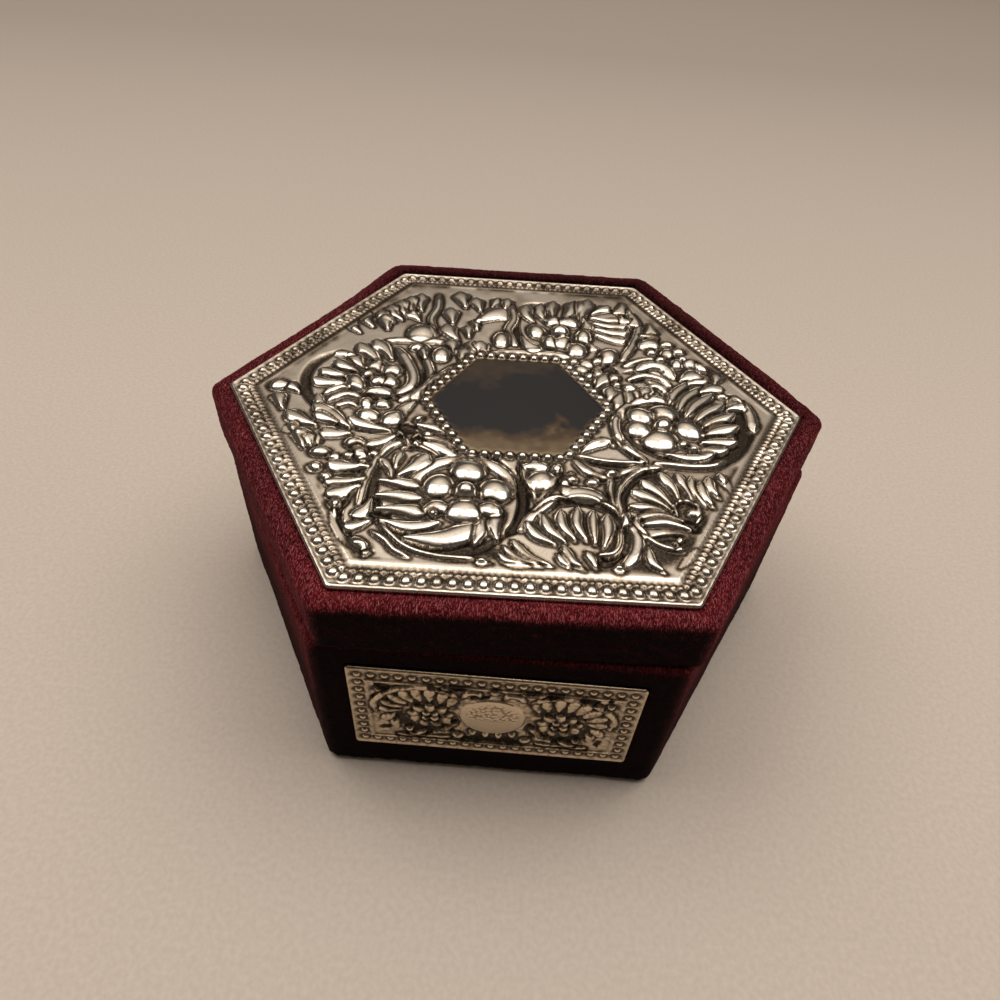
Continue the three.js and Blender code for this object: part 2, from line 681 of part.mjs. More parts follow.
function dome([x, y, halfLong, halfWide, turns]) {
  const form = boss(halfLong * lidPlateSide, halfWide * lidPlateSide, domeRise, bossSides);
  return form.rotateZ(2 * Math.PI * turns).translate(...onLidPlate([x, y]), 0);
}

function heart(centre) {
  const half = heartShare * lidPlateSide;
  return boss(half, half, heartRise, bossSides).translate(...onLidPlate(centre), 0);
}

// A round ridge that runs all the way round a plate, as profile points.
function ridge(apothem, width, height, level) {
  const points = [];
  for (let step = 0; step <= ridgeSteps; step++) {
    const angle = (Math.PI * step) / ridgeSteps;
    const out = apothem + (width / 2) * Math.cos(angle);
    points.push([out, level + height * Math.sin(angle), lidPlateCorner]);
  }
  return points;
}

function onLidPlate([x, y]) {
  return [x * lidPlateSide, y * lidPlateSide];
}

// Everything that the lid plate's ground carries, at the ground's own level.
function ornament() {
  const spots = (row) => row.map((place) => new THREE.Vector2(...onLidPlate(place)));
  return [
    ...domeShares.map(dome),
    ...heartShares.map(heart),
    ...fanShares.flatMap(([count, wide, starts, ends]) => fan(count, wide * lidPlateSide, starts, ends)),
    ...lobeShares.map(([wide, ...row]) => lobe(...spots(row), wide * lidPlateSide, lobeRise)),
    ...stemShares.map(([wide, ...row]) => stem(row.map(onLidPlate), wide * lidPlateSide, stemRise)),
  ];
}

function lidPlate() {
  const under = lidTop - crushedPile + glueLine;
  const top = under + plateThickness;
  const ground = top + groundRise;
  const groundOut = lidPlateOut - lineInset - lineWidth / 2;
  const shieldOut = shieldSide * Math.cos(sector / 2);
  const sheet = hexBody([
    [lidPlateOut, under, lidPlateCorner],
    [lidPlateOut, top - plateEdgeRound, lidPlateCorner],
    [lidPlateOut - plateEdgeRound, top, lidPlateCorner],
    ...ridge(lidPlateOut - smallBeadInset, smallBeadWidth, smallBeadHeight, top),
    ...ridge(lidPlateOut - lineInset, lineWidth, lineHeight, top),
    [groundOut - groundRise, ground, lidPlateCorner],
    [shieldOut, ground, lidPlateCorner],
    [shieldOut - shieldRise, top + shieldRise, lidPlateCorner],
  ]);
  const channels = channelShares.map(([wide, ...row]) =>
    solidOf(channel(row.map(onLidPlate), wide * lidPlateSide, channelDepth).translate(0, 0, ground)),
  );
  const sunk = solidOf(sheet).subtract(wasm.Manifold.union(channels));
  const beads = [
    ...beadRow(stud(beadWidth, beadHeight), lidPlateOut - beadInset, beadPitch),
    ...beadRow(bead(shieldBeadWidth, shieldBeadHeight), shieldOut, shieldBeadPitch),
  ];
  const carried = ornament().map((form) => form.translate(0, 0, groundRise));
  return geometryOf(embossed(sunk, [...beads, ...carried], top));
}

// A plate with forms raised from its face, which is at the level given.
function embossed(sheet, forms, level) {
  const raised = forms.map((form) => solidOf(form.translate(0, 0, level)));
  return wasm.Manifold.union([sheet, ...raised]).simplify(leastEdge);
}

// A rectangle with round corners, in the plane.
function roundedRectangle(width, height, radius) {
  const x = width / 2;
  const y = height / 2;
  const shape = new THREE.Shape();
  shape.moveTo(-x + radius, -y);
  shape.lineTo(x - radius, -y);
  shape.absarc(x - radius, -y + radius, radius, -Math.PI / 2, 0);
  shape.lineTo(x, y - radius);
  shape.absarc(x - radius, y - radius, radius, 0, Math.PI / 2);
  shape.lineTo(-x + radius, y);
  shape.absarc(-x + radius, y - radius, radius, Math.PI / 2, Math.PI);
  shape.lineTo(-x, -y + radius);
  shape.absarc(-x + radius, -y + radius, radius, Math.PI, (3 * Math.PI) / 2);
  return shape;
}

// Stands a flat piece up against the front wall. Its face, which was up, then looks to -Y.
function upright(geometry, standOff) {
  const middle = baseRim - sidePlateBelowRim - sidePlateHeight / 2;
  return geometry.rotateX(Math.PI / 2).translate(0, -(velvetOut - crushedPile + standOff), middle);
}

// The shallow place that the side plate presses into the pile.
function sideSeat() {
  const seat = roundedRectangle(
    sidePlateWidth + 2 * plateSeatMargin,
    sidePlateHeight + 2 * plateSeatMargin,
    sidePlateCorner + plateSeatMargin,
  );
  const clear = crushedPile + velvet;
  return upright(new THREE.ExtrudeGeometry(seat, { depth: clear, bevelEnabled: false, curveSegments: 2 }), 0);
}

// The side plate's ornament, in shares of half the plate's width, from its middle, with x to the right
// and y up: two flowers, each with a fan of lobes over it, and an oval between them.
const flowerShares = [
  [-0.44, -0.06],
  [0.47, -0.06],
];
const flowerRingShares = [0.1, 0.11]; // how far out its petals are, along and across
const flowerPetals = 6;
const flowerPetalShare = 0.06;
const flowerBeadShare = 0.04;
const flowerLobes = 8;
const flowerLobeShares = [0.2, 0.36, 0.036, 0, 0.5]; // near and far ends, half width, angles in turns
const ovalShares = [0.232, 0.222];

function flower([x, y], scale) {
  const forms = [bead(2 * flowerBeadShare * scale, sideBeadRise)];
  const [outAlong, outAcross] = flowerRingShares.map((share) => share * scale);
  for (let petal = 0; petal < flowerPetals; petal++) {
    const angle = (2 * Math.PI * petal) / flowerPetals;
    const form = boss(flowerPetalShare * scale, flowerPetalShare * scale, sidePetalRise, beadSides);
    forms.push(form.translate(outAlong * Math.cos(angle), outAcross * Math.sin(angle), 0));
  }
  const [near, far, halfWide] = flowerLobeShares.map((share) => share * scale);
  const [first, last] = flowerLobeShares.slice(3);
  for (const angle of anglesBetween(first, last, flowerLobes)) {
    const out = new THREE.Vector2(Math.cos(angle), Math.sin(angle));
    forms.push(lobe(out.clone().multiplyScalar(near), out.multiplyScalar(far), halfWide, sideLobeRise));
  }
  return forms.map((form) => form.translate(x * scale, y * scale, 0));
}

// Beads round the side plate, just inside its edge.
function sideBeads() {
  const halfWide = sidePlateWidth / 2 - sideBeadInset;
  const halfHigh = sidePlateHeight / 2 - sideBeadInset;
  const across = Math.round((2 * halfWide) / beadPitch);
  const up = Math.round((2 * halfHigh) / beadPitch);
  const places = [];
  for (let i = 0; i <= across; i++) {
    const x = halfWide * ((2 * i) / across - 1);
    places.push([x, -halfHigh], [x, halfHigh]);
  }
  for (let i = 1; i < up; i++) {
    const y = halfHigh * ((2 * i) / up - 1);
    places.push([-halfWide, y], [halfWide, y]);
  }
  return places.map(([x, y]) => stud(sideBeadWidth, sideBeadHeight).translate(x, y, 0));
}

// The raised line inside the row of beads.
function sideFrame() {
  const corner = sidePlateCorner - plateEdgeRound;
  const outline = (inset) =>
    roundedRectangle(sidePlateWidth - 2 * inset, sidePlateHeight - 2 * inset, corner);
  const line = outline(sideFrameInset - sideFrameWidth / 2);
  line.holes.push(outline(sideFrameInset + sideFrameWidth / 2));
  const frame = new THREE.ExtrudeGeometry(line, {
    depth: embossSink + sideFrameHeight,
    bevelEnabled: false,
    curveSegments: 1,
  });
  return frame.translate(0, 0, -embossSink);
}

function sidePlate() {
  const outline = roundedRectangle(
    sidePlateWidth - 2 * plateEdgeRound,
    sidePlateHeight - 2 * plateEdgeRound,
    sidePlateCorner - plateEdgeRound,
  );
  const flat = plateThickness - 2 * plateEdgeRound;
  const slab = new THREE.ExtrudeGeometry(outline, {
    depth: flat,
    bevelThickness: plateEdgeRound,
    bevelSize: plateEdgeRound,
    bevelSegments: 1,
    curveSegments: 1,
  });
  const scale = sidePlateWidth / 2;
  const [ovalAlong, ovalAcross] = ovalShares.map((share) => share * scale);
  const forms = [
    ...sideBeads(),
    sideFrame(),
    boss(ovalAlong, ovalAcross, sideOvalRise, 2 * bossSides),
    ...flowerShares.flatMap((row) => flower(row, scale)),
  ];
  const plate = embossed(solidOf(slab), forms, flat + plateEdgeRound);
  return upright(geometryOf(plate), plateEdgeRound + glueLine);
}

function base() {
  const group = new THREE.Group();
  group.add(
    named('base_floor_board', hexBoard(boardOut, floorUnder, floorTop), greyBoard),
    ...boardRing('base_wall_board', boardOut, wallIn, wallUnder, wallTop),
    ...boardRing('neck_board', neckOut, neckIn, wallUnder, neckTop - lining - glueLine),
    named('base_velvet', baseVelvet(), velvetCloth),
    named('neck_lining', neckLining(), wellCloth),
    named('well_pad', wellPad(), wellCloth),
    named('foot_felt', footPad(), felt),
    named('side_plate_front', sidePlate(), silver),
  );
  return group;
}

function lid() {
  const group = new THREE.Group();
  group.add(
    named('lid_top_board', hexBoard(boardOut, lidBoardUnder, lidBoardTop), greyBoard),
    ...boardRing('lid_rim_board', boardOut, lidRimIn, lidRimUnder, lidRimTop),
    named('lid_velvet', lidVelvet(), velvetCloth),
    named('lid_lining', lidLiningPanel(), wellCloth),
    named('lid_plate', lidPlate(), silver),
  );
  group.rotation.z = lidTurn;
  return group;
}

const box = new THREE.Group();
box.add(base(), lid());

export default box;
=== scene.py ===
"""Hexagonal velvet jewelry box with embossed silver plates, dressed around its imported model.

Lengths are metres, but the ornament is drawn in millimetres on a plate of the drawing's own size and
is fitted to the plates of the frame.
"""

import math

import bpy
import numpy as np
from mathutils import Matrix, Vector

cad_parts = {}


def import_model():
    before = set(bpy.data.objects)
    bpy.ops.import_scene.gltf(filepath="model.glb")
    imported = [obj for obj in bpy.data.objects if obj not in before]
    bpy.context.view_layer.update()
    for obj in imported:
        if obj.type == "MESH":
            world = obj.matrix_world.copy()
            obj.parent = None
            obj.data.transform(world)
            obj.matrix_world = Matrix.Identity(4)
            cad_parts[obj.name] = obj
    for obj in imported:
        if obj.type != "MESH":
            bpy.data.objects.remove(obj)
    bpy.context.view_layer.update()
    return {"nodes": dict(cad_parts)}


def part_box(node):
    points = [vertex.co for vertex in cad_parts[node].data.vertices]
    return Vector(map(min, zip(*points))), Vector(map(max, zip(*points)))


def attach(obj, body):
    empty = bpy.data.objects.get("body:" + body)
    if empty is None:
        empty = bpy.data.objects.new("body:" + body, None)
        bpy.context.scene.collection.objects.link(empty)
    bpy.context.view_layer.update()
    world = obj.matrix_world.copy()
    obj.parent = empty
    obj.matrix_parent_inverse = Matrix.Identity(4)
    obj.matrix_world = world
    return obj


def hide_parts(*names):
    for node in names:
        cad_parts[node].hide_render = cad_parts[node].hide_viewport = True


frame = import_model()

MM = 0.001
SIDES = 6
SECTOR = 2 * math.pi / SIDES
LID_TURN = math.radians(1.9)


# Sizes read from the frame
def node_points(node, turn=0.0):
    """Corners of a CAD node, turned back by an angle about the upright axis."""
    mesh = frame["nodes"][node].data
    points = np.zeros(len(mesh.vertices) * 3, np.float32)
    mesh.vertices.foreach_get("co", points)
    return turned(points.reshape(-1, 3).astype(float), -turn)


def turned(points, angle):
    """Points turned about the upright axis."""
    c, s = math.cos(angle), math.sin(angle)
    x, y = points[:, 0], points[:, 1]
    return np.column_stack([x * c - y * s, x * s + y * c, points[:, 2]])


def hexagon_distance(x, y):
    """How far out the flat side is of the hexagon that goes through each point."""
    return np.maximum(np.abs(y), np.abs(x) * math.sqrt(3) / 2 + np.abs(y) / 2)


class Levels:
    """Reach from the axis and heights of a node."""

    def __init__(self, node, turn=0.0):
        points = node_points(node, turn)
        reach = hexagon_distance(points[:, 0], points[:, 1])
        self.out = reach.max()
        self.inner = reach.min()
        self.low = points[:, 2].min()
        self.high = points[:, 2].max()


BASE_VELVET = Levels("base_velvet")
LID_VELVET = Levels("lid_velvet", LID_TURN)
LID_PLATE = Levels("lid_plate", LID_TURN)
NECK_LINING = Levels("neck_lining")
WELL_PAD = Levels("well_pad")
LID_LINING = Levels("lid_lining", LID_TURN)
FOOT_FELT = Levels("foot_felt")
SIDE_PLATE_LOW, SIDE_PLATE_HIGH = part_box("side_plate_front")

# Velvet: its corners, its thickness, the round of its edges, and what is turned in and under
CORNER = 2.4 * MM
VELVET = 0.9 * MM
EDGE_ROLL = 1.3 * MM
TURN_IN = 4 * MM
TURN_UNDER = 6 * MM
FOLDED = 0.9 * VELVET

# Depth of the pile's outer part, play between two cloths, and how far the side plate sits in the pile
SURFACE = 0.7 * VELVET
CLOTH_GAP = 0.1 * MM
PLATE_SEAT = 0.45 * MM

# A fan at a form's middle starts at this share of its reach
HUB = 0.02
CORNER_STEPS = 8

# Mesh spacing of each cloth, along its profile and round the hexagon
BASE_MESH = (0.52 * MM, 0.5 * MM)
LID_MESH = (0.42 * MM, 0.42 * MM)
NECK_MESH = (0.7 * MM, 0.9 * MM)
PAD_MESH = (0.8 * MM, 1.0 * MM)
LID_LINING_MESH = (0.9 * MM, 1.0 * MM)
FELT_MESH = (0.8 * MM, 1.0 * MM)


# Smooth noise on points, from a seeded lattice
class Roughness:
    """Value noise: the same seed gives the same surface each time."""

    CELLS = 48

    def __init__(self, seed):
        self.lattice = np.random.default_rng(seed).uniform(-1, 1, (self.CELLS,) * 3)

    def at(self, points, size):
        """Noise between -1 and 1 at points, whose bumps are about size across."""
        p = points / size
        cell = np.floor(p).astype(int)
        f = p - cell
        f = f * f * (3 - 2 * f)
        total = 0
        for corner in np.ndindex(2, 2, 2):
            i = (cell + corner) % self.CELLS
            weight = np.prod(np.where(np.array(corner) == 1, f, 1 - f), axis=1)
            total = total + weight * self.lattice[i[:, 0], i[:, 1], i[:, 2]]
        return total


# Curves of one value
def step_between(value, low, high):
    """A smooth step from 0 at low to 1 at high."""
    t = np.clip((value - low) / (high - low), 0, 1)
    return t * t * (3 - 2 * t)


def bell(value, middle, half):
    """1 at the middle, and falling off over half on both sides."""
    return np.exp(-(((value - middle) / half) ** 2))


def ridge(distance, middle, half, rise):
    """A round ridge where distance is near the middle."""
    return rise * np.clip(1 - ((distance - middle) / half) ** 2, 0, 1) ** 0.7


def flat_places(x, y):
    """Points on a plane, for noise."""
    return np.column_stack([x.ravel(), y.ravel(), np.zeros(x.size)])


# Meshes
def mesh_object(name, points, faces, smooth=True):
    """A mesh object from an array of points and arrays of quads or triangles."""
    mesh = bpy.data.meshes.new(name)
    loops = np.concatenate([f.ravel() for f in faces]).astype(np.int32)
    sizes = np.concatenate([np.full(len(f), f.shape[1]) for f in faces]).astype(np.int32)
    starts = np.concatenate([[0], np.cumsum(sizes)[:-1]]).astype(np.int32)
    mesh.vertices.add(len(points))
    mesh.vertices.foreach_set("co", points.astype(np.float32).ravel())
    mesh.loops.add(len(loops))
    mesh.loops.foreach_set("vertex_index", loops)
    mesh.polygons.add(len(sizes))
    mesh.polygons.foreach_set("loop_start", starts)
    mesh.update(calc_edges=True)
    mesh.validate()
    if smooth:
        mesh.shade_smooth()
    piece = bpy.data.objects.new(name, mesh)
    bpy.context.scene.collection.objects.link(piece)
    return piece


def bake_map(piece, u, v):
    """Lays the piece flat for baking: a place in the unit square for each of its points."""
    layer = piece.data.uv_layers.new(name="OFBake")
    corner = np.zeros(len(piece.data.loops), np.int32)
    piece.data.loops.foreach_get("vertex_index", corner)
    layer.data.foreach_set("uv", np.column_stack([u[corner], v[corner]]).astype(np.float32).ravel())


def point_value(piece, name, values):
    """Stores a number on each point of the mesh, which its material reads."""
    attribute = piece.data.attributes.new(name, "FLOAT", "POINT")
    attribute.data.foreach_set("value", values.astype(np.float32))


def finished(piece, body, slot, material, *nodes):
    """The piece takes the material, rides on a body and stands for CAD nodes, which are hidden. slot is not
    used.
    """
    piece.data.materials.append(material)
    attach(piece, body)
    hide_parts(*nodes)
    return piece


# Cloth shells that go round the hexagon
def even_steps(profile, step):
    """Points at even distances along a profile, which cut its corners by less than a step."""
    p = np.asarray(profile, float)
    lengths = np.hypot(*np.diff(p[:, :2], axis=0).T)
    along = np.concatenate([[0], np.cumsum(lengths)])
    count = max(int(round(along[-1] / step)), 2)
    t = np.linspace(0, along[-1], count + 1)
    return np.column_stack([np.interp(t, along, p[:, i]) for i in range(p.shape[1])])


def arc(centre_out, centre_high, radius, first, last, steps=8):
    """Points of a round edge, in quarter turns from straight out."""
    angle = np.linspace(first, last, steps + 1) * math.pi / 2
    return [(centre_out + radius * math.cos(a), centre_high + radius * math.sin(a)) for a in angle]


def hexagon_ring(apothem, radius, side_steps):
    """Points round a hexagon with round corners."""
    points = []
    reach = (apothem - radius) / math.cos(SECTOR / 2)
    half = (apothem - radius) * math.tan(SECTOR / 2)
    for corner in range(SIDES):
        towards = corner * SECTOR
        centre = (reach * math.cos(towards), reach * math.sin(towards))
        for step in range(CORNER_STEPS + 1):
            angle = towards + SECTOR * (step / CORNER_STEPS - 0.5)
            points.append((centre[0] + radius * math.cos(angle), centre[1] + radius * math.sin(angle)))
        out = (math.cos(towards + SECTOR / 2), math.sin(towards + SECTOR / 2))
        for step in range(1, side_steps):
            s = half * (2 * step / side_steps - 1)
            points.append((apothem * out[0] - s * out[1], apothem * out[1] + s * out[0]))
    return np.array(points)


def nested(apothem, outside):
    """Corner radius of a face that lies inside the outer one."""
    return max(CORNER - (outside - apothem), 0.1 * MM)


def hexagon_shell(profile, outside, mesh, closed=True):
    """A cloth shell from a profile of (distance out, height) points that goes round the hexagon, and how
    many points it has along and around. An open profile is closed by a fan at each end."""
    step, side_step = mesh
    rows = even_steps(profile, step)
    side_steps = int(2 * outside * math.tan(SECTOR / 2) / side_step)
    if closed:
        rows = rows[:-1]
    levels = []
    for out, height in rows:
        ring = hexagon_ring(out, nested(out, outside), side_steps)
        levels.append(np.column_stack([ring, np.full(len(ring), height)]))
    points = np.concatenate(levels)
    count, around = len(rows), len(levels[0])
    index = np.arange(count * around).reshape(count, around)
    low = index if closed else index[:-1]
    high = np.roll(index, -1, axis=0) if closed else index[1:]
    quads = np.stack([low, np.roll(low, -1, axis=1), np.roll(high, -1, axis=1), high], axis=-1)
    faces = [quads.reshape(-1, 4)]
    if not closed:
        middle = np.array([[0, 0, rows[0, 1]], [0, 0, rows[-1, 1]]])
        first, last = len(points), len(points) + 1
        points = np.concatenate([points, middle])
        start = np.column_stack([np.full(around, first), np.roll(index[0], -1), index[0]])
        end = np.column_stack([np.full(around, last), index[-1], np.roll(index[-1], -1)])
        faces += [start, end]
    if volume(points, faces) < 0:
        faces = [f[:, ::-1] for f in faces]
    return points, faces, (count, around)


def volume(points, faces):
    """What the faces enclose, which is below zero where they look inward."""
    total = 0.0
    for f in faces:
        for i in range(1, f.shape[1] - 1):
            a, b, c = points[f[:, 0]], points[f[:, i]], points[f[:, i + 1]]
            total += np.einsum("ij,ij->", a, np.cross(b, c)) / 6
    return total


def face_ways(points, faces):
    """The way out of the surface at each point."""
    total = np.zeros_like(points)
    for f in faces:
        a, b, c = (points[f[:, i]] for i in range(3))
        way = np.cross(b - a, c - a)
        for i in range(f.shape[1]):
            np.add.at(total, f[:, i], way)
    return total / (np.linalg.norm(total, axis=1, keepdims=True) + 1e-12)


def shell_map(piece, count, around):
    """Bake map of a shell: round the box one way, along its profile the other."""
    u = np.tile(np.arange(around) / (around + 1), count)
    v = np.repeat(np.arange(count) / (count + 1), around)
    extra = len(piece.data.vertices) - len(u)
    bake_map(piece, np.append(u, np.full(extra, 0.5)), np.append(v, np.full(extra, 0.995)))


def cloth_piece(name, shell, body, slot, material, cad_node):
    """A finished cloth from a shell of points, faces and shape."""
    points, faces, shape = shell
    piece = mesh_object(name, points, faces)
    shell_map(piece, *shape)
    return finished(piece, body, slot, material, cad_node)


PILE = Roughness(11)


def pile_depth(points):
    """How far the pile stands out at each point: tufts, and softer hollows."""
    fine = PILE.at(points, 0.55 * MM)
    tufts = PILE.at(points + 1, 1.3 * MM)
    hollows = PILE.at(points + 2, 7 * MM)
    return MM * (0.07 * fine + 0.06 * tufts + 0.10 * hollows)


def side_seat(points):
    """How far the side plate presses the pile in at each point of the base's velvet."""
    middle = (SIDE_PLATE_LOW + SIDE_PLATE_HIGH) / 2
    aside = (SIDE_PLATE_HIGH.x - SIDE_PLATE_LOW.x) / 2 - np.abs(points[:, 0] - middle.x)
    above = (SIDE_PLATE_HIGH.z - SIDE_PLATE_LOW.z) / 2 - np.abs(points[:, 2] - middle.z)
    inside = np.minimum(aside, above)
    near = -points[:, 1] > BASE_VELVET.out - 0.5 * MM
    dip = np.clip((inside + 0.45 * MM) / (0.6 * MM), 0, 1)
    lip = bell(inside, -1.0 * MM, 0.5 * MM) * 0.06 * MM
    return np.where(near, PLATE_SEAT * dip - lip, 0)


def base_velvet_piece(material):
    """The base's velvet: under the floor, up the walls, over the rim and down inside it."""
    out, low, rim = BASE_VELVET.out, BASE_VELVET.low, BASE_VELVET.high
    inner = NECK_LINING.out + CLOTH_GAP
    under = out - VELVET - TURN_UNDER
    profile = [
        (under, low),
        *arc(out - EDGE_ROLL, low + EDGE_ROLL, EDGE_ROLL, -1, 0),
        *arc(out - EDGE_ROLL, rim - EDGE_ROLL, EDGE_ROLL, 0, 1),
        *arc(inner + VELVET / 2, rim - VELVET / 2, VELVET / 2, 1, 2),
        (inner, rim - TURN_IN),
        (inner + FOLDED, rim - TURN_IN),
        (inner + FOLDED, rim - VELVET),
        (out - VELVET, rim - VELVET),
        (out - VELVET, low + VELVET),
        (under, low + VELVET),
        (under, low),
    ]
    points, faces, shape = hexagon_shell(profile, out, BASE_MESH)
    ways = face_ways(points, faces)
    outer = (hexagon_distance(points[:, 0], points[:, 1]) > out - SURFACE) | (points[:, 2] > rim - SURFACE)
    depth = np.where(outer, pile_depth(points), 0)
    seat = side_seat(points)
    points = points + ways * (depth * (seat < PLATE_SEAT * 0.5) - seat)[:, None]
    shell = points, faces, shape
    piece = cloth_piece("base_velvet_pile", shell, "base", "velvet", material, "base_velvet")
    # Painted light and shade on the side walls: lighter higher up and darker near the bottom, stored on the
    # points for the material
    painted_wall_light = 2.4 * step_between(points[:, 2], low + 10 * MM, rim - 2 * MM) - 0.2
    point_value(piece, "painted_light_and_shade", 1 + np.abs(ways[:, 0]) * painted_wall_light)


def lid_velvet_piece(material):
    """The lid's velvet: across the top under the plate, round the edge and up inside the rim."""
    out, rim, top = LID_VELVET.out, LID_VELVET.low, LID_VELVET.high
    inner = LID_LINING.out + CLOTH_GAP
    seat = LID_PLATE.out + CLOTH_GAP
    seat_top = LID_PLATE.low - CLOTH_GAP
    profile = [
        (seat - 4 * MM, seat_top - 0.1 * MM),
        (seat - 0.6 * MM, seat_top - 0.1 * MM),
        (seat + 0.15 * MM, seat_top + 0.05 * MM),
        (seat + 0.5 * MM, top - 0.06 * MM),
        (seat + 0.9 * MM, top),
        *arc(out - EDGE_ROLL, top - EDGE_ROLL, EDGE_ROLL, 1, 0),
        *arc(out - VELVET / 2, rim + VELVET / 2, VELVET / 2, 0, -1),
        *arc(inner + VELVET / 2, rim + VELVET / 2, VELVET / 2, 3, 2),
        (inner, LID_LINING.high),
        (inner + FOLDED, LID_LINING.high),
        (inner + FOLDED, rim + VELVET),
        (out - VELVET, rim + VELVET),
        (out - VELVET, top - VELVET),
    ]
    points, faces, shape = hexagon_shell(profile, out, LID_MESH, closed=False)
    ways = face_ways(points, faces)
    reach = hexagon_distance(points[:, 0], points[:, 1])
    ahead = reach - seat
    outer = (reach > out - SURFACE) | ((points[:, 2] > top - SURFACE) & (reach > seat + 0.1 * MM))
    behind = step_between((0.4 * points[:, 0] + 0.9 * points[:, 1]) / out, 0.1, 0.8)
    points = points + ways * np.where(outer, pile_depth(points), 0)[:, None]
    stand_fuller(points, reach, ahead, behind * outer * step_between(ahead, 0.15 * MM, 0.8 * MM))
    points = turned(points, LID_TURN)
    # Painted light: the lid's top is lighter towards the front
    front = step_between(-points[:, 1] / out, 0.6, 0.95)
    shell = points, faces, shape
    piece = cloth_piece("lid_velvet_pile", shell, "lid", "velvet", material, "lid_velvet")
    # Painted light and shade stored on the points for the material: painted sheen on the side walls seen
    # edge-on, and painted shade towards the back, most on the slope beside the plate
    pressed = 1 - step_between(ahead, 0.5 * MM, 2.4 * MM)
    upright = np.hypot(ways[:, 0], ways[:, 1])
    painted_side_sheen = np.clip(np.abs(ways[:, 0]) - 0.4, 0, 1) * (upright > 0.8)
    point_value(piece, "painted_light_and_shade", 0.82 + 0.26 * front + 0.9 * painted_side_sheen - behind * (0.22 + 0.38 * pressed))


def stand_fuller(points, reach, ahead, risen):
    """Raises the lid's pile, and moves it inward beside the plate and outward at the lid's edge, as far as
    risen says."""
    rim, top = LID_VELVET.low, LID_VELVET.high
    sideways = (1.7 * np.clip((ahead - 0.5 * MM) / (2.4 * MM), 0, 1) - 0.7) * MM * risen
    sideways *= step_between(points[:, 2], rim, rim + 4 * MM)
    points[:, :2] *= 1 + (sideways / np.maximum(reach, MM))[:, None]
    points[:, 2] += 0.9 * MM * risen * step_between(points[:, 2], top - 4 * MM, top - 0.5 * MM)


def neck_lining_piece(material):
    """The lining: down outside the neck, over its top and down inside to the floor."""
    out, top, low, inner = NECK_LINING.out, NECK_LINING.high, NECK_LINING.low, NECK_LINING.inner
    thick = 0.54 * MM
    behind = BASE_VELVET.high - 2.5 * MM
    roll = 0.5 * MM
    profile = [
        (out, behind),
        *arc(out - roll, top - roll, roll, 0, 1),
        *arc(inner + roll, top - roll, roll, 1, 2),
        (inner, low),
        (inner + thick, low),
        (inner + thick, top - 0.6 * MM),
        (out - thick, top - 0.6 * MM),
        (out - thick, behind),
        (out, behind),
    ]
    points, faces, shape = hexagon_shell(profile, BASE_VELVET.out, NECK_MESH)
    soft = PILE.at(points, 1.1 * MM) * 0.03 * MM + PILE.at(points, 6 * MM) * 0.06 * MM
    points = points + face_ways(points, faces) * (soft - 0.05 * MM)[:, None]
    shell = points, faces, shape
    cloth_piece("neck_lining_cloth", shell, "base", "lining", material, "neck_lining")


def well_pad_piece(material):
    """A loose pad with a round edge, a low crown and sides that pull in between its corners."""
    out, low, top = NECK_LINING.inner - 0.02 * MM, WELL_PAD.low, WELL_PAD.high
    crown = 1.4 * MM
    edge = (top - low - crown) / 2
    rows = [(out * HUB, low), *arc(out - edge, low + edge, edge, -1, 1, 10)]
    for share in np.linspace(0.96, HUB, 40):
        rows.append((out * share, top - crown * share * share * (0.7 + 0.3 * share)))
    points, faces, shape = hexagon_shell(rows, out + CORNER, PAD_MESH, closed=False)
    reach = np.maximum(hexagon_distance(points[:, 0], points[:, 1]), 1e-6)
    radius = np.hypot(points[:, 0], points[:, 1])
    pull = 0.06 * MM * np.clip(1.12 - radius / reach, 0, 0.12) / 0.12 * np.clip(reach / out, 0, 1) ** 6
    points[:, :2] *= 1 - (pull / np.maximum(radius, 1e-6))[:, None]
    lift = np.clip((points[:, 2] - low) / (top - low), 0, 1)
    points[:, 2] += lift * (0.10 * MM * PILE.at(points, 9 * MM) + 0.03 * MM * PILE.at(points, 1.2 * MM))
    shell = points, faces, shape
    piece = cloth_piece("well_pad_cushion", shell, "base", "lining", material, "well_pad")


def lid_lining_piece(material):
    """The covered panel inside the lid, lightly padded."""
    out, low, top = LID_LINING.out, LID_LINING.low, LID_LINING.high
    edge = 0.3 * MM
    rows = [(out * HUB, low - 0.05 * MM)]
    for share in np.linspace(0.1, 0.97, 30):
        rows.append((out * share, low + 0.12 * MM * share**4))
    rows += arc(out - edge, low + edge, edge, -1, 0, 6)
    rows += [(out - 0.05 * MM, top), (out * 0.5, top), (out * HUB, top)]
    points, faces, shape = hexagon_shell(rows, LID_VELVET.out, LID_LINING_MESH, closed=False)
    seen = points[:, 2] < low + edge
    points[:, 2] += seen * (0.05 * MM * PILE.at(points, 7 * MM) + 0.02 * MM * PILE.at(points, 1.2 * MM))
    shell = turned(points, LID_TURN), faces, shape
    piece = cloth_piece("lid_lining_panel", shell, "lid", "lining", material, "lid_lining")


def foot_felt_piece(material):
    """The felt under the base, with a slightly soft edge."""
    out, low, top = FOOT_FELT.out, FOOT_FELT.low, FOOT_FELT.high
    edge = 0.3 * MM
    rows = [(out * HUB, low), *arc(out - edge, low + edge, edge, -1, 0, 4)]
    rows += [(out, top), (out * 0.5, top), (out * HUB, top)]
    points, faces, shape = hexagon_shell(rows, BASE_VELVET.out, FELT_MESH, closed=False)
    side = (points[:, 2] > low + 0.1 * MM) & (points[:, 2] < top - 0.1 * MM)
    points = points + face_ways(points, faces) * (side * 0.05 * MM * PILE.at(points, 0.8 * MM))[:, None]
    shell = points, faces, shape
    cloth_piece("foot_felt_sheet", shell, "base", "felt", material, "foot_felt")


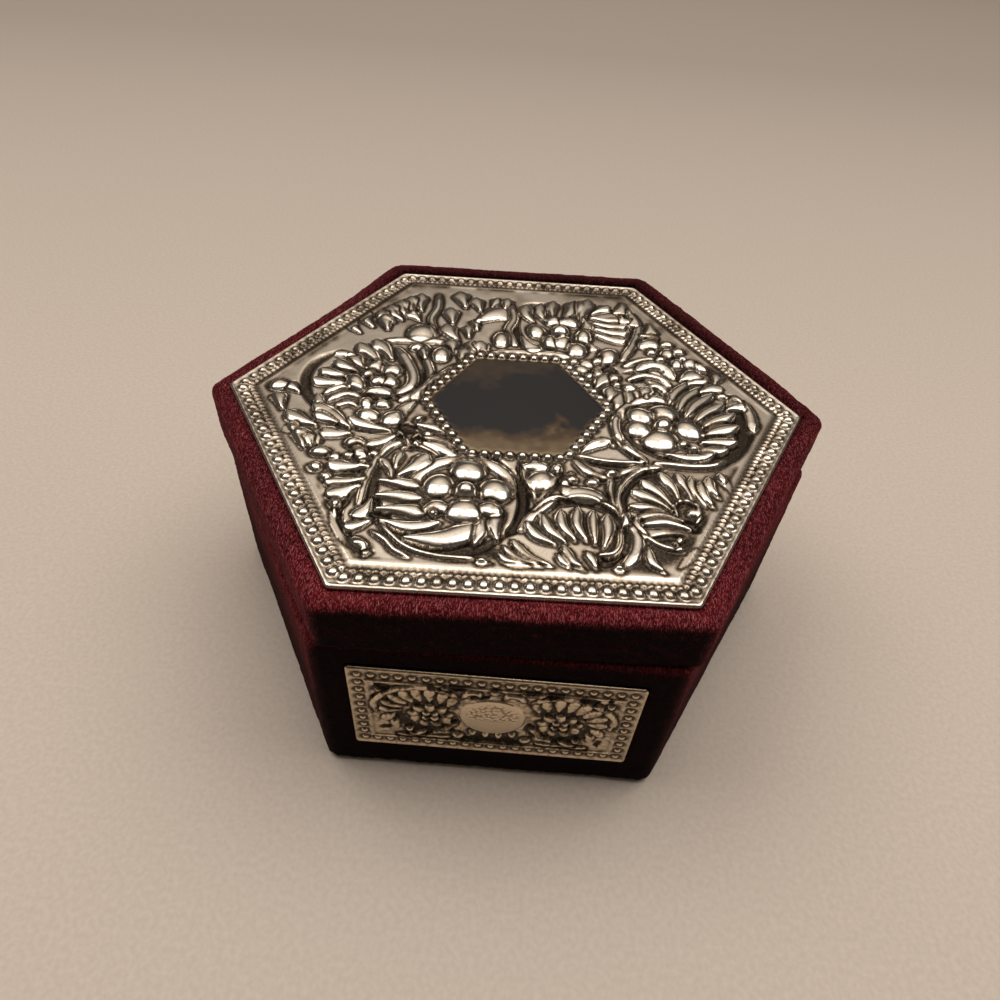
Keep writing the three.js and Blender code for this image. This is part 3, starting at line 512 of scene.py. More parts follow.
# Embossing
# The lid plate's ornament is drawn on a hexagon with this side, centred on the origin, in drawing
# units of a millimetre, and scaled to the frame's plate.
DRAWN_SIDE = 46.25
DRAWN_APOTHEM = DRAWN_SIDE * math.sqrt(3) / 2
RELIEF_STEP = 0.1
RELIEF_MARGIN = 0.5
BLOB_MARGIN = 1.2
PATH_MARGIN = 1.0
ROUND_FROM = 0.72
KEPT = 0.35


class Relief:
    """Heights on a square grid, in drawing units, with a second field for how tarnished it is."""

    def __init__(self, half_x, half_y, step):
        self.step = step
        self.x0, self.y0 = -half_x, -half_y
        self.columns = int(round(2 * half_x / step)) + 1
        self.rows = int(round(2 * half_y / step)) + 1
        self.x = self.x0 + step * np.arange(self.columns)
        self.y = self.y0 + step * np.arange(self.rows)
        self.height = np.zeros((self.rows, self.columns))
        self.tarnish = np.zeros((self.rows, self.columns))

    def window(self, low_x, low_y, high_x, high_y):
        """Slices of the grid that hold a rectangle, and the places of their points."""
        c0 = max(int((low_x - self.x0) / self.step), 0)
        c1 = min(int((high_x - self.x0) / self.step) + 2, self.columns)
        r0 = max(int((low_y - self.y0) / self.step), 0)
        r1 = min(int((high_y - self.y0) / self.step) + 2, self.rows)
        part = (slice(r0, max(r1, r0)), slice(c0, max(c1, c0)))
        px, py = np.meshgrid(self.x[part[1]], self.y[part[0]])
        return part, px, py


def smooth_path(points, steps):
    """Points along a smooth curve through the given ones (Catmull-Rom)."""
    p = np.asarray(points, float)
    if len(p) == 2:
        t = np.linspace(0, 1, steps + 1)[:, None]
        return p[0] * (1 - t) + p[1] * t
    ends = np.vstack([2 * p[0] - p[1], p, 2 * p[-1] - p[-2]])
    pieces = []
    for i in range(len(p) - 1):
        a, b, c, d = ends[i : i + 4]
        t = np.linspace(0, 1, steps, endpoint=False)[:, None]
        pieces.append(
            0.5 * (2 * b + (c - a) * t + (2 * a - 5 * b + 4 * c - d) * t**2 + (3 * b - a - 3 * c + d) * t**3)
        )
    return np.vstack(pieces + [p[-1:]])


def bent_line(x0, y0, x1, y1, bend):
    """Three points of an arc from one end to the other. bend is its rise, as a share of its length."""
    middle_x = (x0 + x1) / 2 - bend * (y1 - y0)
    middle_y = (y0 + y1) / 2 + bend * (x1 - x0)
    return [(x0, y0), (middle_x, middle_y), (x1, y1)]


def nearest_on_path(px, py, path):
    """For each point: how far the path is, and how far along it the nearest place is, from 0 to 1."""
    a, b = path[:-1], path[1:]
    along = b - a
    lengths = np.hypot(along[:, 0], along[:, 1]) + 1e-9
    starts = np.concatenate([[0], np.cumsum(lengths)[:-1]])
    best = np.full(px.shape, 1e9)
    where = np.zeros(px.shape)
    for k in range(len(a)):
        t = ((px - a[k, 0]) * along[k, 0] + (py - a[k, 1]) * along[k, 1]) / lengths[k] ** 2
        t = np.clip(t, 0, 1)
        d = np.hypot(px - a[k, 0] - t * along[k, 0], py - a[k, 1] - t * along[k, 1])
        closer = d < best
        best = np.where(closer, d, best)
        where = np.where(closer, starts[k] + t * lengths[k], where)
    return best, where / (starts[-1] + lengths[-1])


def raise_over(relief, part, u, rise, groove, groove_width, gap):
    """Lays a rounded form on the relief. u is 0 along its middle and 1 at its edge, gap is the distance
    outside the edge. A chased groove follows the edge."""
    inside = np.clip(1 - u**2, 0, 1) ** 0.78
    old = relief.height[part]
    dug = old - groove * np.exp(-((gap / groove_width) ** 2))
    lifted = np.where(u < 1, np.maximum(KEPT * old, 0) + rise * inside, -9)
    relief.height[part] = np.where(u < 1, np.maximum(dug, lifted), dug)
    beside = np.where(u >= 1, np.exp(-((gap / (1.8 * groove_width)) ** 2)), 0) * 0.8
    relief.tarnish[part] = np.maximum(relief.tarnish[part] * (u >= 1), beside)


def oval_distance(px, py, x, y, half_long, half_wide, tilt):
    """How far each point is from an oval's middle: 1 on its outline."""
    c, s = math.cos(math.radians(tilt)), math.sin(math.radians(tilt))
    dx, dy = px - x, py - y
    return np.hypot((dx * c + dy * s) / half_long, (dy * c - dx * s) / half_wide)


def near_path(relief, points, steps, reach):
    """The part of the relief near a smooth curve, with each point's distance from it and place along it."""
    path = smooth_path(points, steps)
    low, high = path.min(axis=0) - reach, path.max(axis=0) + reach
    part, px, py = relief.window(low[0], low[1], high[0], high[1])
    return part, *nearest_on_path(px, py, path)


def lay_blob(relief, x, y, half_long, half_wide, tilt, rise, groove=0.16):
    """An oval dome."""
    reach = max(half_long, half_wide) + BLOB_MARGIN
    part, px, py = relief.window(x - reach, y - reach, x + reach, y + reach)
    u = oval_distance(px, py, x, y, half_long, half_wide, tilt)
    gap = np.maximum(u - 1, 0) * min(half_long, half_wide)
    raise_over(relief, part, u, rise, groove, 0.28, gap)


def width_along(t, fullness, head):
    """Half width along a leaf, as a share of its largest: pointed at the start, and round at the end
    where head is 1."""
    swell = np.sin(np.pi * np.clip(t, 0, 1) ** fullness)
    past = np.clip((t - ROUND_FROM) / (1 - ROUND_FROM), 0, 1)
    rounded = np.sqrt(np.clip(1 - past**2, 0, 1)) * np.minimum(1, 0.25 + 1.1 * t)
    return np.clip((1 - head) * swell + head * rounded, 0.02, 1)


def lay_leaf(relief, x0, y0, x1, y1, half_wide, bend, rise, head):
    """A leaf from a pointed start to a fuller end."""
    part, d, t = near_path(relief, bent_line(x0, y0, x1, y1, bend), 7, half_wide + PATH_MARGIN)
    wide = half_wide * width_along(t, 0.85, head)
    swell = rise * (0.55 + 0.45 * np.sin(np.pi * np.clip(0.15 + 0.7 * t, 0, 1)))
    raise_over(relief, part, d / wide, swell, 0.2, 0.24, np.maximum(d - wide, 0))


def lay_band(relief, points, half_wide, rise):
    """A smooth stem or rim along a curve, drawn in at its ends."""
    part, d, t = near_path(relief, points, 8, half_wide + PATH_MARGIN)
    ends = np.minimum(1, np.minimum(t, 1 - t) / 0.18)
    wide = half_wide * (0.5 + 0.5 * np.sqrt(np.clip(ends, 0, 1)))
    raise_over(relief, part, d / wide, rise * (0.5 + 0.5 * ends), 0.14, 0.26, np.maximum(d - wide, 0))


def lay_trough(relief, points, half_wide, depth, dark=1.0):
    """A hollow channel, which is tarnished."""
    part, d, t = near_path(relief, points, 8, 2.2 * half_wide + 0.6)
    ends = np.clip(np.minimum(t, 1 - t) / 0.15, 0, 1)
    wide = half_wide * (0.35 + 0.65 * ends)
    relief.height[part] -= depth * np.exp(-((d / wide) ** 4)) * ends
    film = dark * np.exp(-((d / (1.15 * wide)) ** 4)) * ends
    relief.tarnish[part] = np.maximum(relief.tarnish[part], film)


# Lid plate, in drawing millimetres. The shield is its smooth middle.
SHIELD_CENTRE = (-0.1, -1.0)
SHIELD_SIDE = 14.9
SHIELD_BEADS = 8
SHIELD_RISE = 0.25
SHIELD_OUT = SHIELD_SIDE * math.sqrt(3) / 2
GROUND_RISE = 0.15
BORDER_BEADS = 23
BEAD_INSET = 1.75
SMALL_BEAD_INSET = 2.9
PLATE_CORNER = 0.9
PLATE_THICK = 0.6 * MM
RIM_DROP = 0.02
DEEPEST = -0.5
LID_PLATE_STEPS = 180
LID_PLATE_LIP = 0.12

# Ridges and zones of the lid plate's border, in from its edge, each zone with the start and end of its step
INNER_RIDGE = 4.15
OUTER_RIDGE = 0.3
ORNAMENT_EDGE = (4.9, 5.4)
FIELD_EDGE = (4.2, 5.2)
GROUND_EDGE = (3.6, 4.4)
BEAD_ROW_EDGE = (3.3, 3.8)
FLANGE_EDGE = (0.8, 1.3)

# A leaf drawn shorter than LONG_LEAF is laid SHORT_STRETCH times as long as drawn, and any other
# LONG_STRETCH times.
LONG_LEAF = 5.5
SHORT_STRETCH = 1.2
LONG_STRETCH = 1.08

# Each row of TROUGHS is (half width, depth, points), of SOOT (x, y, half length, half width, tilt in
# degrees), of BANDS (half width, rise, points), of LEAVES (start x, start y, end x, end y, half width, bend,
# rise, roundness of the end), and of BLOBS (x, y, half length, half width, tilt in degrees, rise).

TROUGHS = [
    # round the front left rosette
    (0.45, 0.45, [
        (-15.6, -20.2), (-13.9, -17.2), (-11, -15.3), (-6.8, -14.7), (-3, -15.3), (-0.5, -17.2)
    ]),
    (0.7, 0.7, [(-0.7, -17), (0.6, -20), (1, -24), (0.1, -28), (-2, -30.6)]),
    (0.95, 0.8, [
        (-1.2, -30), (-5, -32.4), (-9.5, -33.1), (-13.7, -31.7), (-17.2, -28.8), (-19.6, -25), (-20.2, -20)
    ]),
    # round the right rosette
    (1.15, 0.8, [(34.2, 2.2), (35.7, -1.6), (35.5, -6.2), (33.6, -9.8), (30.2, -12.2), (25.2, -13)]),
    (0.5, 0.55, [(26, -13), (21.4, -12.2), (18.2, -9.6), (16.4, -6.6)]),
    # round the left rosette
    (0.8, 0.42, [(-30.8, 11), (-33.6, 7.6), (-34.6, 3.6), (-33.7, -1), (-31.4, -4.2), (-28.2, -6)]),
    (0.5, 0.5, [(-26.6, -1), (-23.2, -2), (-19.6, -1.6), (-16.9, 0.6), (-15.9, 4.4), (-16.9, 8.6)]),
    # round the back right rosette
    (0.8, 0.65, [
        (5.6, 31.2), (1.8, 30), (-0.4, 26.6), (-0.7, 22), (0.5, 18.2), (3.2, 15.4), (7.4, 14.6)
    ]),
    (0.6, 0.5, [(20, 17), (21.1, 21.4), (20.4, 26.4), (18, 31)]),
    # front scroll and front right scroll
    (0.42, 0.5, [
        (1.5, -28), (3.4, -24.9), (6.7, -23.5), (10.2, -23.5), (12.9, -25), (14.4, -27.6), (14.7, -30.4)
    ]),
    (0.7, 0.55, [(10.6, -33.9), (12.2, -33.6), (14, -31.4)]),
    (0.5, 0.55, [(16.2, -27.6), (15.1, -24), (15.3, -21), (17, -18), (19.6, -15.9), (22.8, -15.2)]),
    (0.55, 0.6, [(22.5, -25.6), (24.4, -26.2), (24.6, -28)]),
    (0.6, 0.5, [(17, -30), (20, -28.8), (23.4, -28.6)]),
    # beside the cartouche
    (0.4, 0.45, [(6.9, -15.8), (7, -18.4), (5.4, -21.8), (3, -24.4)]),
    (0.45, 0.45, [(0.2, -15.7), (0.9, -18.9), (2.3, -22.2)]),
    (0.9, 0.6, [(-17.7, -7.8), (-16.6, -9), (-15.6, -8.2)]),
    (0.4, 0.5, [(-25, -9.8), (-21.6, -10.2), (-18.6, -10)]),
    (0.5, 0.4, [(-21.8, -15.2), (-20.6, -12.8), (-18.4, -11.6)]),
    (1.0, 0.6, [(14.6, 10.9), (15.6, 10), (16.9, 10.6)]),
    (0.5, 0.5, [(9.6, -13.7), (12, -14.8), (16, -15.1), (20, -14.2)]),
    (0.5, 0.45, [(17.8, 9.3), (20.6, 9.9), (23.6, 9.2), (25.6, 7.4)]),
    (0.4, 0.45, [(18.8, 6.6), (21.2, 7.2), (22.4, 6.2)]),
    # front left corner
    (0.5, 0.5, [(-22.4, -24), (-23.8, -27), (-22.9, -30.2), (-21, -32)]),
    (0.35, 0.45, [(-25.6, -19.2), (-22, -19.2)]),
    (0.35, 0.45, [(-26, -23.2), (-22.2, -21.5)]),
]

SOOT = [
    (36.9, -1.4, 3.6, 1.2, 80),
    (-5.6, -33.6, 6.4, 1.3, 5),
    (-19.9, -21.4, 3.8, 1.0, 90),
    (19.2, -31.6, 3.4, 2.2, 30),
    (22.6, -29.4, 2.6, 1.8, -30),
    (16.6, -33.8, 2.8, 1.3, 0),
    (24.4, -26.0, 2.4, 1.4, 0),
    (-16.8, -9.2, 2.0, 1.3, 0),
    (-23.6, -20.4, 2.2, 1.2, 90),
    (-13.6, -17.4, 2.0, 1.0, 40),
    (19.6, -17.6, 3.2, 1.6, 40),
    (8.2, -27.4, 3.6, 1.2, 0),
    (30.4, 0.4, 3.0, 1.6, 60),
]

BANDS = [
    # front left whorl
    (1.15, 0.6, [
        (-14.5, -20.6), (-13, -17.9), (-10.4, -16.2), (-6.9, -15.7), (-3.6, -16.5), (-1.4, -18.6), (-0.5, -22)
    ]),
    (0.7, 0.55, [(-21.3, -26), (-21.1, -21), (-20.3, -16.8), (-18.9, -13.8), (-16.9, -12)]),
    (0.4, 0.5, [(-18.6, -28.2), (-16.4, -31), (-13.6, -33.3), (-9.6, -34.4), (-5.4, -34.3)]),
    (0.55, 0.5, [(-16.8, -13.6), (-15.2, -12.9), (-13.3, -13.6), (-11.7, -14.6)]),
    # stems between the front left whorl, the teardrop and the front scroll
    (0.4, 0.5, [(0.6, -15.2), (1.2, -18.8), (3, -23.4)]),
    (0.45, 0.55, [(3, -23.4), (5.2, -20), (6, -16.8)]),
    (0.95, 0.55, [(0.7, -28.8), (2.4, -25.9), (4.6, -23.4), (6.6, -20.4), (7.9, -17.2)]),
    (0.8, 0.6, [(8.6, -14.4), (10, -16.4), (12.2, -17.8), (14.2, -17.1), (17.4, -15.6), (21, -14.7)]),
    (0.6, 0.45, [(13.8, -17.6), (13.3, -20.6), (13.9, -24.2)]),
    # front scroll
    (0.38, 0.5, [(2.2, -25.4), (4.4, -23), (7.4, -22.3), (10.6, -22.4), (13.4, -24), (15.2, -26.8)]),
    (1.0, 0.55, [(15.2, -25.6), (16.3, -28.6), (15.8, -31.8), (14.2, -34.2)]),
    (0.5, 0.6, [(14, -27.8), (13.8, -30.6), (12.6, -32.4), (10.8, -32.6)]),
    # front right scroll
    (0.38, 0.5, [(15.4, -27), (14.4, -24), (14.5, -20.8), (16.2, -17.7), (18.9, -15.3)]),
    (0.42, 0.7, [(22.2, -24.9), (22, -23), (23.2, -21.9), (25, -22.4), (25.4, -24.4), (24.6, -26)]),
    (0.45, 0.55, [(16.8, -28.4), (19, -30.4), (21.6, -31.2)]),
    # right whorl
    (1.25, 0.65, [(16, -3.6), (16.9, -1), (19.2, 1.2), (22.4, 2.1), (24.4, 1.6)]),
    (0.8, 0.5, [(15.8, -9), (15.3, -6), (15.6, -2.8)]),
    (0.6, 0.6, [(20.6, -13.8), (25, -14.3), (28.8, -13.9), (31.4, -12.4)]),
    (0.5, 0.6, [(14.6, -8.9), (16.2, -11), (18.4, -13.5)]),
    (1.1, 0.5, [(36.9, 3), (37.6, -0.6), (37.2, -4.6)]),
    # triangle right of the cartouche's front corner
    (0.5, 0.55, [(9.6, -12), (11.4, -10.2), (13.3, -9), (14.6, -10.4)]),
    (0.7, 0.6, [(16.2, -9.8), (17.6, -12), (19.2, -13.8)]),
    (0.45, 0.5, [(9, -13), (11.6, -13.9), (15, -14.2), (18.6, -13.9)]),
    # left whorl
    (1.1, 0.6, [(-20.8, 12.6), (-18.9, 9), (-17.4, 5), (-17.5, 1.8), (-19.3, -0.3)]),
    (0.8, 0.5, [(-17.4, 13.4), (-15.4, 9), (-14.4, 4.6), (-15.6, 0.8), (-18.6, -2)]),
    (1.2, 0.5, [(-9.6, 9), (-12.2, 5.6), (-14.6, 2), (-16.4, -1.2)]),
    (0.7, 0.55, [(-30.6, -1.4), (-28.4, 0.4), (-25.6, 0.4)]),
    (0.7, 0.55, [(-29.8, -3.3), (-27.4, -1.5), (-24.9, -1.9)]),
    (0.6, 0.5, [(-28.8, -5), (-26.6, -3.8), (-24.8, -4.4)]),
    # back stems
    (1.0, 0.5, [(-5.4, 12.7), (-1, 13.5), (4, 13.6), (9, 13.4)]),
    (0.9, 0.5, [(-23, 15), (-18, 15.4), (-13, 15.6)]),
    (0.9, 0.5, [(-1.6, 30), (-0.9, 25), (-1.9, 20.6), (-0.6, 16)]),
    (0.8, 0.5, [(-15.4, 32), (-15.2, 27), (-16, 22.6), (-14.6, 17.6)]),
    (0.9, 0.5, [(18, 13.2), (20.4, 18), (22.2, 24), (21.6, 29)]),
    (0.6, 0.45, [(18.4, 11.4), (21, 13.2), (24, 14.2)]),
    # upper right scroll
    (1.15, 0.7, [(20.6, 10.4), (22.8, 11.9), (25.2, 11.3), (26.4, 8.8)]),
    (0.7, 0.55, [(18.8, 7.4), (21.4, 8.6), (24.2, 7.9), (25.6, 6)]),
    (0.8, 0.65, [(22, 5.7), (23.8, 5.2), (24.8, 3.4)]),
    # front left corner
    (0.45, 0.55, [(-22.8, -23.6), (-24.4, -26.8), (-23.6, -30.4), (-21.4, -32.9), (-19.4, -33)]),
    (0.4, 0.45, [(-18.9, -30.6), (-17, -32), (-15.6, -33.6), (-13.6, -34.8)]),
]

LEAVES = [
    # front left whorl, from the tips to the rosette
    (-19.2, -21, -13.4, -21.9, 1.18, 0.05, 0.62, 0.7),
    (-19.3, -24, -13, -24.2, 1.24, 0.05, 0.62, 0.7),
    (-18.6, -26.6, -12, -26.7, 1.32, 0.03, 0.7, 1),
    (-17.8, -28.6, -10.2, -28.4, 1.22, -0.12, 0.58, 0.5),
    (-14.2, -31.5, -5.1, -28.7, 1.95, -0.11, 0.74, 0.7),
    (-5.3, -31.7, -4.4, -27.5, 1.14, -0.05, 0.55, 0.7),
    (-2.4, -30.6, -2.1, -25.4, 1.22, 0.1, 0.55, 0.7),
    (-16.4, -19.4, -13.2, -15.3, 1.6, -0.05, 0.7, 1),
    (-17.7, -20.2, -19.4, -16.6, 0.91, -0.1, 0.47, 0.8),
    (-17.3, -17.8, -16.9, -14.8, 0.83, 0.05, 0.43, 0.8),
    # front scroll
    (4.9, -31, 1.7, -27.9, 0.94, 0.12, 0.55, 0.7),
    (6.3, -30.4, 3.8, -26.3, 1.03, 0.1, 0.58, 0.7),
    (7.7, -29.9, 6.2, -25.2, 1.05, 0.12, 0.62, 0.7),
    (9.3, -29.8, 8.6, -24.6, 1.05, 0.12, 0.62, 0.7),
    (10.5, -30.6, 10.6, -24.8, 1, 0.02, 0.62, 0.7),
    (11.6, -31.2, 12.4, -25.4, 1.18, -0.06, 0.66, 0.8),
    (4.6, -34.9, -0.4, -30.9, 1, 0.14, 0.55, 0.6),
    (3, -35, -1.3, -32.2, 0.84, 0.14, 0.48, 0.6),
    (1.6, -35.1, -2, -33.4, 0.69, 0.14, 0.43, 0.6),
    (8.6, -35.1, 6.4, -31.7, 1, 0.1, 0.55, 0.7),
    (6.9, -35, 5.5, -33, 0.63, 0.05, 0.39, 0.7),
    (10.2, -35, 9.2, -32.4, 0.76, -0.1, 0.43, 0.7),
    (-3.2, -35, -5, -34.7, 0.76, 0, 0.39, 0.9),
    # front right scroll
    (21.6, -22.8, 18, -18, 1.09, -0.05, 0.62, 1),
    (22.7, -21.6, 20.9, -16.5, 1, -0.08, 0.62, 1),
    (21, -23.4, 16.7, -20.4, 1, -0.05, 0.58, 1),
    (21, -24.3, 16, -23.4, 0.94, -0.06, 0.58, 0.7),
    (22.8, -25.8, 16.6, -25.6, 1, -0.12, 0.55, 0.6),
    (23.6, -27.3, 17, -26.9, 0.88, -0.14, 0.58, 0.5),
    (24.6, -21.4, 23.4, -16.4, 0.94, -0.06, 0.55, 1),
    (26.4, -22, 25.4, -17, 0.91, 0.05, 0.55, 0.8),
    (27.6, -22.2, 26.9, -17.6, 0.94, 0.1, 0.58, 0.9),
    (28.8, -20.4, 28.1, -16.6, 0.94, 0.1, 0.55, 0.9),
    (30.7, -18.8, 29.8, -15.6, 0.83, 0, 0.55, 0.9),
    (19, -34.8, 17.6, -31.3, 0.91, 0.15, 0.55, 0.7),
    (21.4, -33.8, 24, -30.8, 0.61, 0, 0.39, 0.6),
    # right whorl
    (24.5, 0.6, 28.8, 7.2, 1.28, 0.06, 0.66, 0.45),
    (25.7, -1.1, 30.9, 6.1, 1.36, 0.06, 0.7, 0.45),
    (26.9, -2.3, 32.4, 4.2, 1.32, 0.06, 0.7, 0.45),
    (28, -3.7, 33.9, 1.9, 1.32, 0.05, 0.7, 0.45),
    (29, -4.9, 35, -0.9, 1.48, 0.03, 0.74, 0.45),
    (29, -6.8, 35, -4, 1.53, 0.03, 0.74, 0.45),
    (28.4, -8.6, 33.9, -7.9, 1.44, 0, 0.7, 0.45),
    (26.6, -10.3, 31.8, -9.9, 1.12, -0.06, 0.58, 0.5),
    (22.6, -11.7, 29.6, -11.2, 1.06, -0.1, 0.51, 0.5),
    # between the cartouche and the right whorl
    (15.4, -1.2, 17.5, 3.2, 1.68, 0.05, 0.66, 0.8),
    (17.9, 0.9, 18.8, 3.8, 1.34, 0, 0.62, 1),
    (14.6, 1.2, 15.5, 4.3, 1.34, 0, 0.58, 1),
    (13.2, 4.6, 15.4, 8.1, 1.76, 0.05, 0.66, 0.9),
    (12.4, 7.6, 13.8, 9.4, 1.16, 0, 0.47, 1),
    (19.6, 2.4, 20, 4.6, 1.16, 0, 0.47, 1),
    (21, 2.3, 21.5, 5.2, 1.25, 0, 0.55, 1),
    # back right whorl
    (8.4, 25.6, 10.8, 32, 1.9, -0.05, 0.74, 1),
    (11.6, 25.4, 13.4, 32.8, 1.9, 0.05, 0.74, 1),
    (4.8, 25, 4.2, 30, 1.68, 0.1, 0.66, 1),
    (2.6, 24, 1.4, 29.6, 1.5, 0.12, 0.58, 1),
    (6.4, 26.4, 6.6, 31.4, 1.34, 0.06, 0.58, 1),
    (14, 26.6, 19, 26.6, 1.25, -0.1, 0.58, 0.9),
    (14.2, 24.6, 19.4, 24.3, 1.25, -0.1, 0.58, 0.9),
    (14.4, 22.6, 19.4, 22.1, 1.25, -0.1, 0.58, 0.9),
    (14.4, 20.6, 19, 19.4, 1.25, -0.1, 0.58, 1),
    (12.2, 25.6, 12.9, 22.6, 1.16, 0, 0.51, 1),
    (14.2, 28.4, 17, 31, 1.34, 0, 0.62, 1),
    (0.8, 18, 3.6, 14.4, 1.68, -0.08, 0.66, 1),
    (12.6, 17.6, 13.6, 15.6, 1, 0, 0.47, 1),
    # back right corner
    (19.9, 32.4, 19.6, 28.6, 1.83, 0, 0.62, 1),
    (20.9, 29.4, 21.6, 24.6, 1.45, 0, 0.62, 1),
    (19, 27.6, 20.2, 25.6, 1.16, 0, 0.47, 1),
    (24.3, 25.4, 24.5, 22, 1.34, 0, 0.55, 1),
    (22.6, 21.2, 25.2, 20.2, 1.25, 0.1, 0.55, 1),
    # back left scroll
    (-18.2, 25.9, -18.6, 31.4, 1.53, 0.05, 0.66, 1),
    (-19.5, 24.6, -20.4, 29.8, 1.45, 0.08, 0.66, 1),
    (-20.6, 23.6, -22.1, 28.2, 1.5, 0.1, 0.62, 1),
    (-21.6, 22.4, -23.8, 26.4, 1.42, 0.12, 0.58, 1),
    (-22.8, 21.4, -25.4, 24.4, 1.25, 0.12, 0.55, 1),
    (-18.4, 22.4, -19.8, 24.6, 1.34, 0, 0.55, 1),
    (-23.5, 18.9, -24.4, 22.4, 1.5, 0, 0.66, 1),
    (-26.4, 19.6, -28.2, 24, 1.34, 0.1, 0.47, 1),
    (-28.4, 17.4, -30.6, 21.4, 1.34, 0.1, 0.47, 1),
    # back, between the scroll and the whorl
    (-12.1, 22.2, -12.8, 26.6, 1.68, 0, 0.66, 1),
    (-10.2, 28.3, -11.4, 32.8, 1.76, 0, 0.66, 1),
    (-7.3, 27.2, -8.3, 31, 1.5, 0, 0.58, 1),
    (-8.9, 18, -9.2, 21, 1.25, 0, 0.58, 1),
    (-11, 16.6, -13, 20.8, 1.76, 0.05, 0.66, 1),
    (-7.6, 20.6, -7.9, 23.4, 1.16, 0, 0.55, 1),
    (-7.2, 23, -2.6, 27.2, 2.6, 0.05, 0.74, 1),
    (-5, 28.6, -4, 31.6, 1.16, 0, 0.47, 1),
    (-2.6, 28.6, -2.2, 31.6, 1.16, 0, 0.47, 1),
    # round the cartouche's back left side
    (-11.2, 12.7, -11.9, 15.9, 1.5, 0, 0.62, 1),
    (-7.6, 12.5, -8.2, 16, 1.42, 0, 0.62, 1),
    (-5.8, 12.1, -6.7, 15.9, 1.5, 0, 0.62, 1),
    (-9.8, 10.4, -9.4, 13.3, 1.53, 0, 0.62, 1),
    (-16, 10.3, -16.8, 14, 1.5, 0, 0.62, 1),
    # left whorl
    (-23.4, 7.6, -27.6, 13, 1.68, -0.05, 0.7, 1),
    (-21.6, 9.3, -25, 14.4, 1.61, -0.05, 0.7, 1),
    (-25.8, 6.3, -28.1, 9.8, 1.68, 0.05, 0.7, 1),
    (-26.9, 5, -30.2, 7.6, 1.45, 0.05, 0.66, 1),
    (-27.8, 3.4, -32.2, 4.9, 1.5, 0.05, 0.66, 1),
    (-28.2, 1.6, -33, 2.2, 1.42, 0.08, 0.58, 0.9),
    (-28, 9.3, -31, 9.9, 1.16, -0.1, 0.47, 0.8),
    (-29.2, -5.6, -31.6, -2, 1, 0.1, 0.39, 0.9),
    # leaf spray on the left
    (-25.7, -9.5, -31.6, -4.9, 1.76, -0.04, 0.74, 0.7),
    (-30.9, -9.4, -35.2, -6.7, 1.61, 0.05, 0.66, 0.8),
    (-19.4, -10, -25.8, -7.3, 1.3, 0.05, 0.62, 0.8),
    (-27.8, -8.7, -31, -7, 1, 0, 0.47, 0.8),
    (-18, -10.8, -23.6, -13.4, 1.1, 0.12, 0.55, 0.7),
    (-35, -1.3, -37, 0.6, 1.25, 0, 0.58, 0.9),
    (-36.6, -5.4, -38, -2.2, 1.42, 0, 0.58, 1),
    (-32.6, -11.6, -34.6, -10, 1.34, 0, 0.58, 1),
    (-31.3, -14.4, -32.4, -10.9, 1.61, 0, 0.66, 1),
    (-29.3, -13.8, -29.8, -11.2, 1.16, 0, 0.51, 1),
    (-30.4, -13.9, -31, -12, 0.84, 0, 0.39, 1),
    (-25.4, -11, -29, -10.4, 1.53, 0.1, 0.47, 0.9),
    (-22.2, -18.6, -22.2, -15.9, 1, 0, 0.51, 1),
    (-21.8, -18.2, -26.6, -18, 1.5, 0.06, 0.62, 1),
    (-21.9, -20.9, -26.4, -21.6, 1.25, 0.08, 0.55, 0.9),
    (-22.3, -22.5, -25.8, -24.2, 1.45, 0.05, 0.62, 1),
    (-19.9, -25, -21.6, -28.2, 1.25, 0.1, 0.55, 1),
    (-19.6, -28.9, -22.4, -30, 1, 0.1, 0.47, 1),
    (-19.2, -34.9, -19, -33.8, 0.84, 0, 0.39, 0.9),
    # right of the knot
    (-15.4, -9.5, -8.9, -12.8, 1.14, -0.06, 0.58, 0.5),
    (-15.2, -8.2, -10.8, -9.4, 0.91, 0.05, 0.47, 0.5),
    (-13.9, -12.4, -9.2, -14.8, 1.14, 0.06, 0.55, 0.6),
    (-16.4, -2.6, -18.4, -6.2, 1.22, -0.1, 0.39, 0.6),
    # beside the triangle and the front scroll
    (10, -12.2, 14, -9.6, 1.14, 0.1, 0.47, 0.6),
    (17.6, -28.4, 16.4, -25.4, 0.61, 0.1, 0.39, 0.7),
    (14.6, -27, 15.4, -24.6, 0.68, 0, 0.31, 0.7),
    # along the right-hand border
    (29.2, 7, 31.9, 8.9, 1.83, 0, 0.66, 1),
    (28, 8.2, 30.9, 10.2, 1.83, 0.05, 0.55, 1),
    (31, 4.9, 34.2, 6.2, 1.68, 0.1, 0.58, 1),
    (34.6, 1.7, 36.2, 4, 1.42, 0, 0.62, 1),
    (34.4, 0.5, 36.7, 1.7, 1.42, 0, 0.62, 1),
    (33.4, 7.8, 34.4, 10.2, 1.16, 0, 0.47, 1),
]

